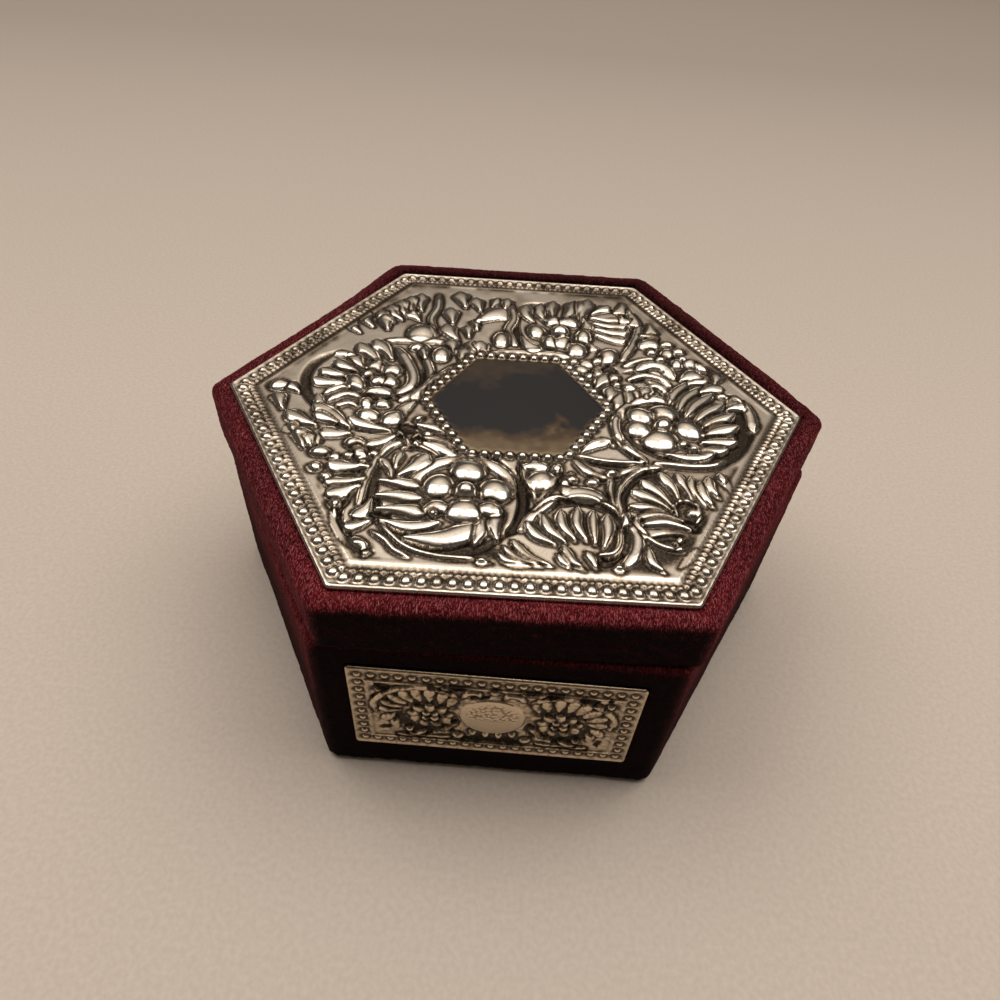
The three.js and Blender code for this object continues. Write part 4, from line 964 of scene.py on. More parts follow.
BLOBS = [
    # front left rosette
    (-6.95, -18, 2.63, 2.45, 0, 1.06),
    (-10.9, -21.3, 2.58, 2.22, 70, 1.02),
    (-2.95, -21.7, 2.58, 2.39, -60, 1.02),
    (-7.1, -25.9, 2.86, 2.34, 5, 1.06),
    (-11, -25.6, 1.8, 1.44, 30, 0.77),
    (-3.4, -25.4, 1.8, 1.44, -40, 0.77),
    (-7.05, -22, 1.63, 1.6, 0, 1.34),
    # right rosette
    (23.3, -1.9, 2.63, 2.51, 0, 1.06),
    (26.8, -5.5, 2.63, 2.28, -60, 1.02),
    (22, -8.4, 3.02, 2.74, 20, 1.06),
    (18.9, -5.9, 2.24, 2.05, 60, 0.92),
    (19.6, -2.6, 2.24, 2.05, -45, 0.92),
    (22.9, -4.9, 1.58, 1.48, 0, 1.29),
    (25.4, -9.3, 0.96, 0.9, 0, 0.77),
    (26.8, -10.2, 0.78, 0.72, 0, 0.64),
    # left rosette
    (-23.6, 6.6, 1.93, 1.73, 0, 0.92),
    (-20.9, 5.8, 1.93, 1.73, 60, 0.92),
    (-21.2, 2.6, 1.81, 1.73, 0, 0.92),
    (-22.4, -0.4, 2.46, 1.42, 0, 0.92),
    (-26.4, 2, 2.46, 1.6, 115, 0.97),
    (-24.6, 4.2, 1.3, 1.19, 0, 0.86),
    (-23, 2.6, 1.32, 1.32, 0, 0.77),
    # back right rosette
    (6.7, 24.4, 1.93, 1.85, 0, 0.92),
    (9.4, 24.2, 1.93, 1.85, 0, 0.92),
    (3.3, 20.6, 2.58, 1.77, 110, 0.97),
    (5.8, 17.5, 2.24, 1.65, 100, 0.97),
    (8.1, 17.5, 2.3, 1.66, 85, 0.97),
    (11.7, 19.9, 2.46, 1.54, 85, 0.97),
    (7.5, 21.1, 1.81, 1.73, 0, 1.25),
    (10.3, 15.4, 2.3, 1.85, 80, 0.92),
    (15.7, 13.9, 2.69, 1.88, 65, 0.97),
    # teardrop and dome beside it
    (3.5, -19, 2.4, 1.98, 60, 0.85),
    (2.9, -16.1, 2.1, 1.14, 0, 0.68),
    (5.9, -16.2, 1.02, 0.84, 70, 0.64),
    (9.5, -21.4, 3.12, 1.68, -8, 0.68),
    (6.9, -19.3, 0.72, 0.6, 0, 0.42),
    (8.1, -18.4, 0.72, 0.6, 0, 0.42),
    (13.7, -16.9, 0.96, 0.84, 0, 0.77),
    (10.9, -18.7, 0.96, 0.72, 0, 0.42),
    # beads of the front scrolls
    (13.3, -34.9, 0.72, 0.72, 0, 0.59),
    (-4.3, -34.9, 0.72, 0.6, 0, 0.51),
    (21.3, -30, 0.66, 0.66, 0, 0.59),
    (21.9, -29.3, 0.6, 0.6, 0, 0.51),
    (21.7, -30.9, 0.6, 0.54, 0, 0.51),
    (24.6, -23.9, 0.96, 0.84, 0, 0.51),
    (-11.2, -27, 0.6, 0.6, 0, 0.68),
    # leaf spray on the left
    (-23, -6.3, 2.1, 1.44, -25, 0.77),
    (-19.3, -6.9, 2.04, 1.74, 60, 0.81),
    (-38.4, 0.2, 1.62, 1.38, 60, 0.72),
    (-24, -13, 1.62, 1.38, 0, 0.77),
    (-22.9, -15.3, 1.62, 1.32, -30, 0.72),
    (-28.6, -15.5, 1.62, 1.14, 0, 0.72),
    (-20.9, -15.3, 0.72, 0.66, 0, 0.51),
    (-28.7, -18.8, 1.2, 1.08, 40, 0.68),
    (-26.3, -16.3, 0.96, 0.72, 20, 0.42),
    (-24.6, -15.9, 0.72, 0.6, 0, 0.42),
    (-24.6, -26, 1.02, 0.84, 0, 0.59),
    (-26.8, -20.6, 0.84, 0.72, 0, 0.51),
    (-20.2, -32.8, 1.5, 0.96, -35, 0.59),
    (-23.8, -3.3, 1.62, 1.2, 100, 0.72),
    (-21.3, -3.4, 1.32, 1.14, 0, 0.64),
    (-15.2, -6.6, 0.84, 0.54, 50, 0.59),
    # knot
    (-17.4, -10.7, 1.08, 0.48, -50, 0.68),
    (-15.1, -11, 1.08, 0.48, 50, 0.68),
    (-16.3, -12.3, 1.08, 0.48, -60, 0.68),
    (-15, -12.6, 0.96, 0.48, 70, 0.59),
    (-13.4, -10.3, 0.72, 0.48, 0, 0.51),
    # back
    (-17.4, 18, 3, 2.64, 80, 0.89),
    (-3.1, 17.5, 2.52, 1.56, 90, 0.81),
    (-13.3, 11.5, 2.34, 1.62, 90, 0.81),
    (-17.8, 13.2, 1.2, 1.08, 0, 0.59),
    # upper right, along the border
    (23.6, 18.6, 2.28, 1.8, 20, 0.81),
    (23.6, 16, 0.96, 0.84, 0, 0.59),
    (26.4, 15.8, 1.8, 1.38, 70, 0.77),
    (25, 14.1, 0.84, 0.72, 0, 0.51),
    (27.6, 12.8, 1.62, 1.14, 80, 0.77),
    (30.4, 13.2, 1.8, 1.44, -40, 0.72),
    (28.9, 14.6, 0.72, 0.6, 0, 0.51),
    (31.8, 11.9, 1.32, 0.96, -60, 0.64),
    (26.8, 19, 1.2, 0.96, 0, 0.59),
    (28.6, 17, 1.08, 0.96, 0, 0.51),
    (33.9, 4, 0.96, 0.72, 0, 0.51),
    (16.4, 7.4, 1.32, 0.96, 80, 0.68),
    (16.6, 5.7, 0.72, 0.6, 0, 0.42),
    (18.6, 5, 1.08, 0.9, 0, 0.59),
    (10.7, 9.6, 1.56, 1.32, 0, 0.51),
    (11.8, 11.6, 1.44, 1.2, 0, 0.42),
    (9.6, 11.8, 0.84, 0.72, 0, 0.42),
    (12, 7.6, 0.96, 0.72, 80, 0.51),
    (13.6, 12.4, 0.96, 0.72, 70, 0.51),
]

# The side plate's ornament, in drawing millimetres from its middle, with the same columns. Its oval is
# (x, y, half width, half height).
SIDE_DRAWN_WIDTH = 40.5
SIDE_DRAWN_HEIGHT = 20.0
SIDE_CORNER = 0.6
SIDE_BEAD_INSET = 1.6
SIDE_BEAD_PITCH = 1.9
SIDE_OVAL = (-0.1, 0.3, 4.7, 4.5)
SIDE_STEP = 0.12
SIDE_DEEPEST = -0.35
SIDE_LIP = 0.1
GRAIN_ROWS = 7
GRAIN_COLUMNS = 12
GRAIN_PITCH = 0.62
GRAIN_ROW_PITCH = 0.6
GRAIN_JITTER = 0.24
GRAIN_RADIUS = 0.34

SIDE_TROUGHS = [
    (1.04, 0.6, [(-13.4, 1.2), (-11.8, 2.3), (-9, 2.9), (-6.4, 2.2), (-5.2, 0.6)]),
    (1.04, 0.6, [(5.2, 0.8), (6.9, 2.4), (9.6, 2.9), (12.3, 2.2), (13.6, 0.9)]),
    (0.78, 0.54, [(-13.2, 0.4), (-13.2, -2.2), (-11.4, -4.2), (-8.6, -4.7), (-6, -3.6), (-5, -1)]),
    (0.78, 0.54, [(5.2, -0.6), (5.6, -3.4), (8.2, -4.8), (11.2, -4.6), (13.3, -2.8), (13.7, 0)]),
    (0.78, 0.54, [(-16.6, 3.9), (-15.9, 3.2)]),
    (0.78, 0.6, [(-15.6, -4.4), (-15.2, -5.4)]),
    (0.78, 0.6, [(15.0, -5.0), (15.9, -5.2)]),
    (0.59, 0.6, [(-2.9, 5.3), (-2.6, 4.4)]),
    (0.59, 0.6, [(-1.3, 5.5), (-1.0, 4.9)]),
    (0.65, 0.48, [(3.4, -4.8), (2.2, -5.9), (0.4, -5.4), (-1.6, -5.9), (-3.4, -5.2)]),
    (0.59, 0.48, [(-6.4, -6.1), (-4.6, -6.6), (-2, -6.6), (1, -6.6), (4.4, -6.6), (6.6, -6.1)]),
]

SIDE_HOLES = [
    (0.72, 0.6, [(-6.6, 6.95), (-5, 7), (-3.6, 6.95)]),
    (0.78, 0.48, [(-9.2, 6.75), (-8, 6.95)]),
    (0.72, 0.6, [(3.9, 7.05), (5.2, 7.1), (6.2, 6.85)]),
    (0.78, 0.6, [(6.9, 6.85), (8.2, 7.05), (9.4, 6.75)]),
    (0.78, 0.6, [(11.2, 6.85), (12.8, 6.55), (14.2, 5.65)]),
    (0.59, 0.6, [(15.2, 6.95), (16.2, 6.85)]),
    (0.65, 0.6, [(-16.4, 6.65), (-15.4, 6.05), (-14.4, 5.35)]),
]

SIDE_BANDS = [
    (0.55, 0.4, [(-16.6, -0.6), (-16.7, 2), (-14.4, 5), (-10.8, 6.4), (-7.2, 6.1), (-5, 4.2)]),
    (0.55, 0.4, [(5.3, 4.4), (7.6, 6.2), (10.8, 6.4), (14.4, 4.9), (16.7, 2), (16.6, -0.8)]),
    (0.45, 0.35, [(-7.2, 6.9), (-5, 6.4), (-3.4, 6.8)]),
    (0.45, 0.35, [(3.6, 6.8), (5.2, 6.6), (6.8, 6.8)]),
    (0.4, 0.4, [(-4.4, 4.8), (-3.5, 6), (-2.4, 6.2), (-1.9, 5.2)]),
    (0.4, 0.4, [(4.2, 4.8), (3.2, 6), (2, 6.2), (1.4, 5.2)]),
    (0.4, 0.35, [(-13.6, -6.6), (-9, -6.2), (-6.2, -6.4)]),
    (0.4, 0.35, [(13.8, -6.6), (9.4, -6.2), (6.6, -6.4)]),
]

SIDE_LEAVES = [
    (-13, 0.4, -16.2, 0.2, 0.94, 0.05, 0.3, 0.6),
    (-12.9, 1.2, -15.8, 2.3, 0.94, 0.05, 0.3, 0.6),
    (-12.3, 2, -14.7, 4.1, 0.94, 0.05, 0.3, 0.6),
    (-11.3, 2.6, -13, 5.3, 0.94, 0.05, 0.3, 0.6),
    (-10.1, 3, -11, 6, 0.94, 0.05, 0.3, 0.6),
    (-8.9, 3.1, -9, 6.1, 0.94, 0, 0.3, 0.6),
    (-7.6, 2.8, -7, 5.5, 0.94, -0.05, 0.3, 0.6),
    (-6.5, 2.2, -5.5, 4.5, 0.81, -0.05, 0.3, 0.6),
    (6.4, 2.4, 5.8, 4.7, 0.81, 0.05, 0.3, 0.6),
    (7.6, 2.9, 7.3, 5.5, 0.94, 0.05, 0.3, 0.6),
    (8.9, 3.2, 9.2, 6.1, 0.94, 0, 0.3, 0.6),
    (10.2, 3.1, 11.2, 6, 0.94, -0.05, 0.3, 0.6),
    (11.4, 2.7, 13.1, 5.3, 0.94, -0.05, 0.3, 0.6),
    (12.5, 2.1, 14.8, 4.1, 0.94, -0.05, 0.3, 0.6),
    (13.1, 1.3, 15.9, 2.3, 0.94, -0.05, 0.3, 0.6),
    (13.4, 0.4, 16.2, 0.2, 0.94, -0.05, 0.3, 0.6),
    (-14, -0.8, -15.9, -2.8, 0.94, 0.1, 0.3, 0.6),
    (14, -0.8, 15.9, -2.8, 0.94, -0.1, 0.3, 0.6),
    (-13.4, -4.6, -14, -2.4, 0.8, 0.1, 0.55, 0.6),
    (13.6, -4.4, 14.2, -2.4, 0.8, -0.1, 0.55, 0.6),
    (-6.9, -4.9, -4.9, -1.9, 0.6, 0.1, 0.5, 0.4),
    (6.9, -4.9, 5.1, -1.7, 0.6, -0.1, 0.5, 0.4),
    (-8.6, -5.4, -5.6, -4.6, 0.5, 0.1, 0.4, 0.4),
    (8.8, -5.4, 5.8, -4.6, 0.5, -0.1, 0.4, 0.4),
    (-12, -6, -9.4, -5, 0.5, -0.1, 0.35, 0.4),
    (12.2, -6, 9.6, -5, 0.5, 0.1, 0.35, 0.4),
]

SIDE_BLOBS = [
    (-2.8, -4.4, 0.6, 0.7, 0, 0.5),
    (-0.9, -4.7, 0.6, 0.7, 0, 0.5),
    (1.0, -4.7, 0.6, 0.7, 0, 0.5),
    (2.9, -4.3, 0.6, 0.7, 0, 0.5),
    (4.9, -5.6, 0.9, 0.7, 20, 0.5),
    (-4.9, -5.6, 0.9, 0.7, -20, 0.5),
    (0.0, 6.6, 0.7, 0.6, 0, 0.4),
    (-11.9, -4.9, 0.6, 0.5, 0, 0.4),
    (12.2, -4.8, 0.6, 0.5, 0, 0.4),
    (-15.9, 5.3, 0.6, 0.5, 0, 0.4),
    (15.9, 5.3, 0.6, 0.5, 0, 0.4),
]

SIDE_FLOWERS = ((-8.9, -0.9), (9.5, -0.9))
PETALS = 9
FLOWER_BEADS = 4


def flower(x, y):
    """A ring of petals round four small beads, as rows of blobs."""
    rows = []
    for i in range(PETALS):
        way = 2 * math.pi * (i + 0.3) / PETALS
        place = x + 2.35 * math.cos(way), y + 2.0 * math.sin(way)
        rows.append((*place, 1.0, 0.82, math.degrees(way), 0.34))
    for i in range(FLOWER_BEADS):
        way = 2 * math.pi * (i + 0.5) / FLOWER_BEADS
        place = x + 0.85 * math.cos(way), y + 0.8 * math.sin(way)
        rows.append((*place, 0.62, 0.55, 0, 0.34))
    return rows


def drawn_out(x0, y0, x1, y1, *form):
    """A leaf made longer about its middle, with its ends to a hundredth."""
    stretch = SHORT_STRETCH if math.hypot(x1 - x0, y1 - y0) < LONG_LEAF else LONG_STRETCH
    middle_x, middle_y = (x0 + x1) / 2, (y0 + y1) / 2
    half_x, half_y = (x1 - x0) / 2 * stretch, (y1 - y0) / 2 * stretch
    ends = middle_x - half_x, middle_y - half_y, middle_x + half_x, middle_y + half_y
    return (*(round(place, 2) for place in ends), *form)


def lay_drawing(relief, troughs, bands, leaves, blobs):
    """Lays a drawing from its hollows up."""
    for half, depth, points in troughs:
        lay_trough(relief, points, half, depth, min(1.0, 1.5 * depth))
    for half, rise, points in bands:
        lay_band(relief, points, half, rise)
    for leaf in leaves:
        lay_leaf(relief, *leaf)
    for blob in blobs:
        lay_blob(relief, *blob)


def hexagon_beads(apothem, per_side, centre=(0.0, 0.0)):
    """Places of beads along the six sides of a hexagon."""
    side = 2 * apothem / math.sqrt(3)
    for k in range(SIDES):
        way = SECTOR * k - math.pi / 2
        for i in range(per_side):
            s = ((i + 0.5) / per_side - 0.5) * side
            yield (
                centre[0] + math.cos(way) * apothem - math.sin(way) * s,
                centre[1] + math.sin(way) * apothem + math.cos(way) * s,
            )


def spread(field, reach):
    """A field averaged over a square window of 2 * reach + 1 grid points, both ways."""
    for axis in (0, 1):
        padding = [(reach + 1, reach) if a == axis else (0, 0) for a in (0, 1)]
        total = np.cumsum(np.pad(field, padding, mode="edge"), axis=axis)
        size = field.shape[axis]
        high = np.take(total, np.arange(size) + 2 * reach + 1, axis=axis)
        low = np.take(total, np.arange(size), axis=axis)
        field = (high - low) / (2 * reach + 1)
    return field


def recess_shade(relief):
    """How far each place lies below what is round it, from 0 to 1."""
    wide = spread(spread(relief.height, 7), 7) - relief.height
    near = spread(spread(relief.height, 3), 3) - relief.height
    return np.clip(1.9 * (wide - 0.02), 0, 1) * 0.55 + np.clip(3.0 * (near - 0.03), 0, 1) * 0.5


def lid_relief():
    """The lid plate's whole relief, and where its smooth middle is."""
    relief = Relief(DRAWN_SIDE + RELIEF_MARGIN, DRAWN_APOTHEM + RELIEF_MARGIN, RELIEF_STEP)
    px, py = np.meshgrid(relief.x, relief.y)
    inset = DRAWN_APOTHEM - hexagon_distance(px, py)
    lay_drawing(relief, TROUGHS, BANDS, [drawn_out(*leaf) for leaf in LEAVES], BLOBS)
    relief.height *= step_between(inset, *ORNAMENT_EDGE)
    relief.height += GROUND_RISE * step_between(inset, *GROUND_EDGE)
    shield = hexagon_distance(px - SHIELD_CENTRE[0], py - SHIELD_CENTRE[1])
    inside = 1 - step_between(shield, SHIELD_OUT + 0.6, SHIELD_OUT + 1.1)
    relief.height = relief.height * (1 - inside) + inside * SHIELD_RISE
    relief.tarnish *= 1 - inside
    for x, y in hexagon_beads(SHIELD_OUT, SHIELD_BEADS, SHIELD_CENTRE):
        lay_blob(relief, x, y, 0.86, 0.82, 0, 0.75, 0.1)
    relief.height += ridge(inset, INNER_RIDGE, 0.8, 0.06)
    relief.height += ridge(inset, OUTER_RIDGE, 0.35, 0.16)
    for x, y in hexagon_beads(DRAWN_APOTHEM - BEAD_INSET, BORDER_BEADS):
        lay_blob(relief, x, y, 0.92, 0.8, math.degrees(math.atan2(y, x)), 0.46, 0.1)
    for x, y in hexagon_beads(DRAWN_APOTHEM - SMALL_BEAD_INSET, 2 * BORDER_BEADS):
        lay_blob(relief, x, y, 0.44, 0.36, 0, 0.2, 0.07)
    tarnish_lid(relief, px, py, inset, inside)
    return relief, 1 - step_between(shield, SHIELD_OUT - 0.9, SHIELD_OUT - 0.4)


def tarnish_lid(relief, px, py, inset, inside):
    """Darkens the lid plate's hollows, its soot patches and the lines along its border."""
    field = step_between(inset, *FIELD_EDGE)
    low = (1 - step_between(relief.height, 0.1, 0.5)) * field * (1 - inside)
    place = flat_places(px, py)
    cloud = Roughness(37)
    patches = (cloud.at(place, 5.0) + 0.7 * cloud.at(place, 1.6)).reshape(px.shape)
    for oval in SOOT:
        spot = low * np.exp(-(oval_distance(px, py, *oval) ** 4))
        relief.tarnish = np.maximum(relief.tarnish, spot * np.clip(0.95 + 0.25 * patches, 0.4, 1))
    line = bell(inset, 4.9, 0.28) * np.clip(0.04 + 0.3 * patches, 0, 0.4)
    line += 0.08 * bell(inset, 4.2, 0.5)
    line += np.clip(0.12 + 0.3 * patches, 0, 0.4) * (1 - step_between(inset, 3.2, 3.8))
    back_sides = np.clip(py / 20, 0, 1) * np.clip(np.abs(px) / 25, 0, 1)
    line += back_sides * (0.26 + 0.1 * patches) * bell(inset, 4.6, 1.3)
    shade = recess_shade(relief) * (0.05 + 0.25 * field + 0.7 * step_between(inset, 5.0, 8.0))
    shade += low * np.clip(0.03 + 0.2 * patches, 0, 0.4) + line
    relief.tarnish = np.clip(relief.tarnish * 0.9 + shade, 0, 1)
    relief.tarnish *= 1 - 0.35 * (1 - step_between(inset, *BEAD_ROW_EDGE))
    relief.tarnish *= 1 - 0.45 * (1 - step_between(inset, *FLANGE_EDGE))


def side_relief():
    """The side plate's relief, with its beaded border."""
    half_wide, half_high = SIDE_DRAWN_WIDTH / 2, SIDE_DRAWN_HEIGHT / 2
    relief = Relief(half_wide + RELIEF_MARGIN, half_high + RELIEF_MARGIN, RELIEF_STEP)
    px, py = np.meshgrid(relief.x, relief.y)
    inset = np.minimum(half_wide - np.abs(px), half_high - np.abs(py))
    petals = [row for place in SIDE_FLOWERS for row in flower(*place)]
    lay_drawing(relief, SIDE_TROUGHS, SIDE_BANDS, SIDE_LEAVES, SIDE_BLOBS + petals)
    for half, depth, points in SIDE_HOLES:
        lay_trough(relief, points, half, depth)
    stipple = Roughness(23).at(flat_places(px, py), 0.38).reshape(px.shape)
    oval = oval_distance(px, py, *SIDE_OVAL, 0)
    inside = 1 - step_between(oval, 0.93, 1.03)
    dome = 0.55 * np.sqrt(np.clip(1 - 0.75 * np.clip(oval, 0, 1) ** 2, 0, 1))
    relief.height = (relief.height + 0.05 * stipple) * (1 - inside) + inside * dome
    relief.tarnish = (relief.tarnish + np.clip(0.12 + 0.3 * stipple, 0, 0.6)) * (1 - inside)
    grains = punched_grains(relief)
    grained = step_between(py, SIDE_OVAL[1] - 0.8, SIDE_OVAL[1]) * (1 - step_between(oval, 0.74, 0.86))
    relief.height += 0.16 * grained * (grains - 0.3)
    relief.tarnish += 0.3 * grained * (1 - grains)
    relief.height *= step_between(inset, 2.6, 3.0)
    relief.height += ridge(inset, 2.75, 0.4, 0.3) + ridge(inset, 0.3, 0.35, 0.12)
    for x, y in side_border():
        lay_blob(relief, x, y, 0.5, 0.42, 0, 0.22, 0.12)
    relief.tarnish = np.clip(relief.tarnish * 0.9 + recess_shade(relief), 0, 1)
    return relief


def punched_grains(relief):
    """Staggered rows of small grains over the upper half of the side plate's oval, each a little out of
    line."""
    grains = np.zeros_like(relief.height)
    jitter = np.random.default_rng(5)
    for row in range(GRAIN_ROWS):
        for column in range(GRAIN_COLUMNS):
            across = GRAIN_PITCH * (column + row % 2 / 2)
            x = SIDE_OVAL[0] - 3.7 + across + jitter.uniform(-GRAIN_JITTER, GRAIN_JITTER)
            y = SIDE_OVAL[1] - 0.3 + GRAIN_ROW_PITCH * row + jitter.uniform(-GRAIN_JITTER, GRAIN_JITTER)
            low_x, low_y = x - GRAIN_RADIUS, y - GRAIN_RADIUS
            part, gx, gy = relief.window(low_x, low_y, x + GRAIN_RADIUS, y + GRAIN_RADIUS)
            dome = 1 - ((gx - x) ** 2 + (gy - y) ** 2) / GRAIN_RADIUS**2
            grains[part] = np.maximum(grains[part], dome)
    return grains


def side_border():
    """Places of the beads round a side plate."""
    half_wide = SIDE_DRAWN_WIDTH / 2 - SIDE_BEAD_INSET
    half_high = SIDE_DRAWN_HEIGHT / 2 - SIDE_BEAD_INSET
    across = round(2 * half_wide / SIDE_BEAD_PITCH)
    up = round(2 * half_high / SIDE_BEAD_PITCH)
    for i in range(across + 1):
        x = half_wide * (2 * i / across - 1)
        yield x, half_high
        yield x, -half_high
    for i in range(1, up):
        y = half_high * (2 * i / up - 1)
        yield half_wide, y
        yield -half_wide, y


def sampled(relief, field, x, y):
    """The value of a relief's field at places between its grid points."""
    gx = np.clip((x - relief.x0) / relief.step, 0, relief.columns - 1.001)
    gy = np.clip((y - relief.y0) / relief.step, 0, relief.rows - 1.001)
    i, j = gx.astype(int), gy.astype(int)
    fx, fy = gx - i, gy - j
    low = field[j, i] * (1 - fx) + field[j, i + 1] * fx
    high = field[j + 1, i] * (1 - fx) + field[j + 1, i + 1] * fx
    return low * (1 - fy) + high * fy


def hexagon_lattice(steps):
    """A triangular lattice over a hexagon with a side of 1, ring by ring from its middle."""
    corners = np.array([(math.cos(SECTOR * k), math.sin(SECTOR * k)) for k in range(SIDES + 1)])
    points = [np.zeros((1, 2))]
    faces = []
    for ring in range(1, steps + 1):
        share = np.arange(ring)[:, None] / ring
        for k in range(SIDES):
            points.append((corners[k] * (1 - share) + corners[k + 1] * share) * ring / steps)
        outer_start = 1 + 3 * ring * (ring - 1)
        inner_start = 1 + 3 * (ring - 1) * (ring - 2)
        for k in range(SIDES):
            i = np.arange(ring)
            outer = outer_start + k * ring + i
            outer_next = outer_start + (k * ring + i + 1) % (6 * ring)
            if ring == 1:
                inner = np.zeros(1, int)
            else:
                inner = inner_start + (k * (ring - 1) + i) % (6 * (ring - 1))
            faces.append(np.column_stack([outer, outer_next, inner]))
            if ring > 1:
                faces.append(np.column_stack([inner[:-1], outer_next[:-1], inner[1:]]))
    return np.concatenate(points), np.concatenate(faces)


def corner_share(x, y, apothem, radius):
    """Share of its distance from the middle that a point on the hexagon's edge keeps: less than 1 where a
    corner is round."""
    towards = np.arctan2(y, x)
    off = (towards + SECTOR / 2) % SECTOR - SECTOR / 2
    reach = (apothem - radius) / math.cos(SECTOR / 2)
    tangent = math.atan2(radius * math.sin(SECTOR / 2), reach + radius * math.cos(SECTOR / 2))
    straight = apothem / np.cos(SECTOR / 2 - np.abs(off))
    round_part = reach * np.cos(off) + np.sqrt(np.clip(radius**2 - (reach * np.sin(off)) ** 2, 0, None))
    return np.where(np.abs(off) < tangent, round_part / straight, 1.0)


def closed_sheet(top, rim, under, lip, edge_ways):
    """Edge and underside of a sheet, from the numbers of its top's rim points. Returns the added points and
    faces. The edge stands out by lip beyond the top's rim."""
    count = len(rim)
    first = len(top)
    rim_points = top[rim]
    out = rim_points[:, :2] + edge_ways * lip
    below = rim_points[:, 2] - lip
    rows = [
        np.column_stack([out, below]),
        np.column_stack([out, np.full(count, under + lip / 2)]),
        np.column_stack([rim_points[:, :2], np.full(count, under)]),
    ]
    points = np.concatenate(rows + [np.array([[*rim_points[:, :2].mean(axis=0), under]])])
    levels = [rim, *(first + count * i + np.arange(count) for i in range(3))]
    quads = []
    for high, low in zip(levels, levels[1:]):
        quads.append(np.column_stack([high, low, np.roll(low, -1), np.roll(high, -1)]))
    last = levels[-1]
    middle = np.full(count, first + 3 * count)
    return points, np.concatenate(quads), np.column_stack([middle, np.roll(last, -1), last])


def plate_map(piece, u, v, edge_v):
    """Bake map of a plate: its top as drawn, and its edge and underside in a small ring."""
    turns = np.arange(len(piece.data.vertices) - len(u))
    bake_map(piece, np.append(u, 0.5 + 0.04 * np.cos(turns)), np.append(v, edge_v + 0.01 * np.sin(turns)))


def lid_plate_piece(material):
    """The lid's embossed plate: a thin stamped sheet."""
    relief, shield = lid_relief()
    unit = LID_PLATE.out / DRAWN_APOTHEM
    flat, faces = hexagon_lattice(LID_PLATE_STEPS)
    reach = hexagon_distance(flat[:, 0], flat[:, 1]) / math.cos(SECTOR / 2)
    keep = 1 - reach**14 * (1 - corner_share(flat[:, 0], flat[:, 1], DRAWN_APOTHEM, PLATE_CORNER))
    x, y = (flat * (DRAWN_SIDE - LID_PLATE_LIP / math.cos(SECTOR / 2)) * keep[:, None]).T
    height = np.clip(sampled(relief, relief.height, x, y), DEEPEST, None)
    level = (LID_PLATE.low + PLATE_THICK) / unit
    top = np.column_stack([x, y, level + height])
    rim = 1 + 3 * LID_PLATE_STEPS * (LID_PLATE_STEPS - 1) + np.arange(6 * LID_PLATE_STEPS)
    top[rim, 2] = level - RIM_DROP
    ways = top[rim, :2] / np.linalg.norm(top[rim, :2], axis=1, keepdims=True)
    extra, quads, fan = closed_sheet(top, rim, LID_PLATE.low / unit, LID_PLATE_LIP, ways)
    points = np.concatenate([top, extra]) * unit
    piece = mesh_object("lid_plate_embossed", turned(points, LID_TURN), [faces, quads, fan])
    plain = np.zeros(len(extra))
    point_value(piece, "tarnish", np.append(sampled(relief, relief.tarnish, x, y), plain + 0.2))
    point_value(piece, "shield", np.append(shield_film(relief, shield, x, y), plain))
    span = 2.1 * DRAWN_SIDE
    plate_map(piece, x / span + 0.5, y / span + 0.5, 0.985)
    finished(piece, "lid", "silver", material, "lid_plate")


def shield_film(relief, shield, plate_x, plate_y):
    """How thick the dark film is on the plate's smooth middle: thin along its front and left edges."""
    inside = sampled(relief, shield, plate_x, plate_y)
    x, y = plate_x - SHIELD_CENTRE[0], plate_y - SHIELD_CENTRE[1]
    place = flat_places(x, y)
    cloud = Roughness(31)
    waves = 1.6 * cloud.at(place, 4.5) + 0.8 * cloud.at(place + 3, 1.7) + 0.3 * cloud.at(place + 5, 0.5)
    edge = SHIELD_OUT - hexagon_distance(x, y)
    film = 0.35 + 0.65 * step_between(y + 0.9 * waves, -9.4, -4.6)
    film -= 0.33 * step_between(y - 0.25 * x + waves, 3.5, 9.5)
    film = np.minimum(film, 0.5 + 0.5 * step_between(edge + 0.5 * waves, 0, 1.8))
    bent = x + 0.18 * (y + 4) ** 2
    smudge = bell(bent, 7.2, 1.2) * bell(y, -4.4, 3.2) * (0.3 + 0.3 * cloud.at(place, 0.9))
    return inside * np.clip(film - smudge + 0.08 * cloud.at(place, 1.1), 0.2, 1)


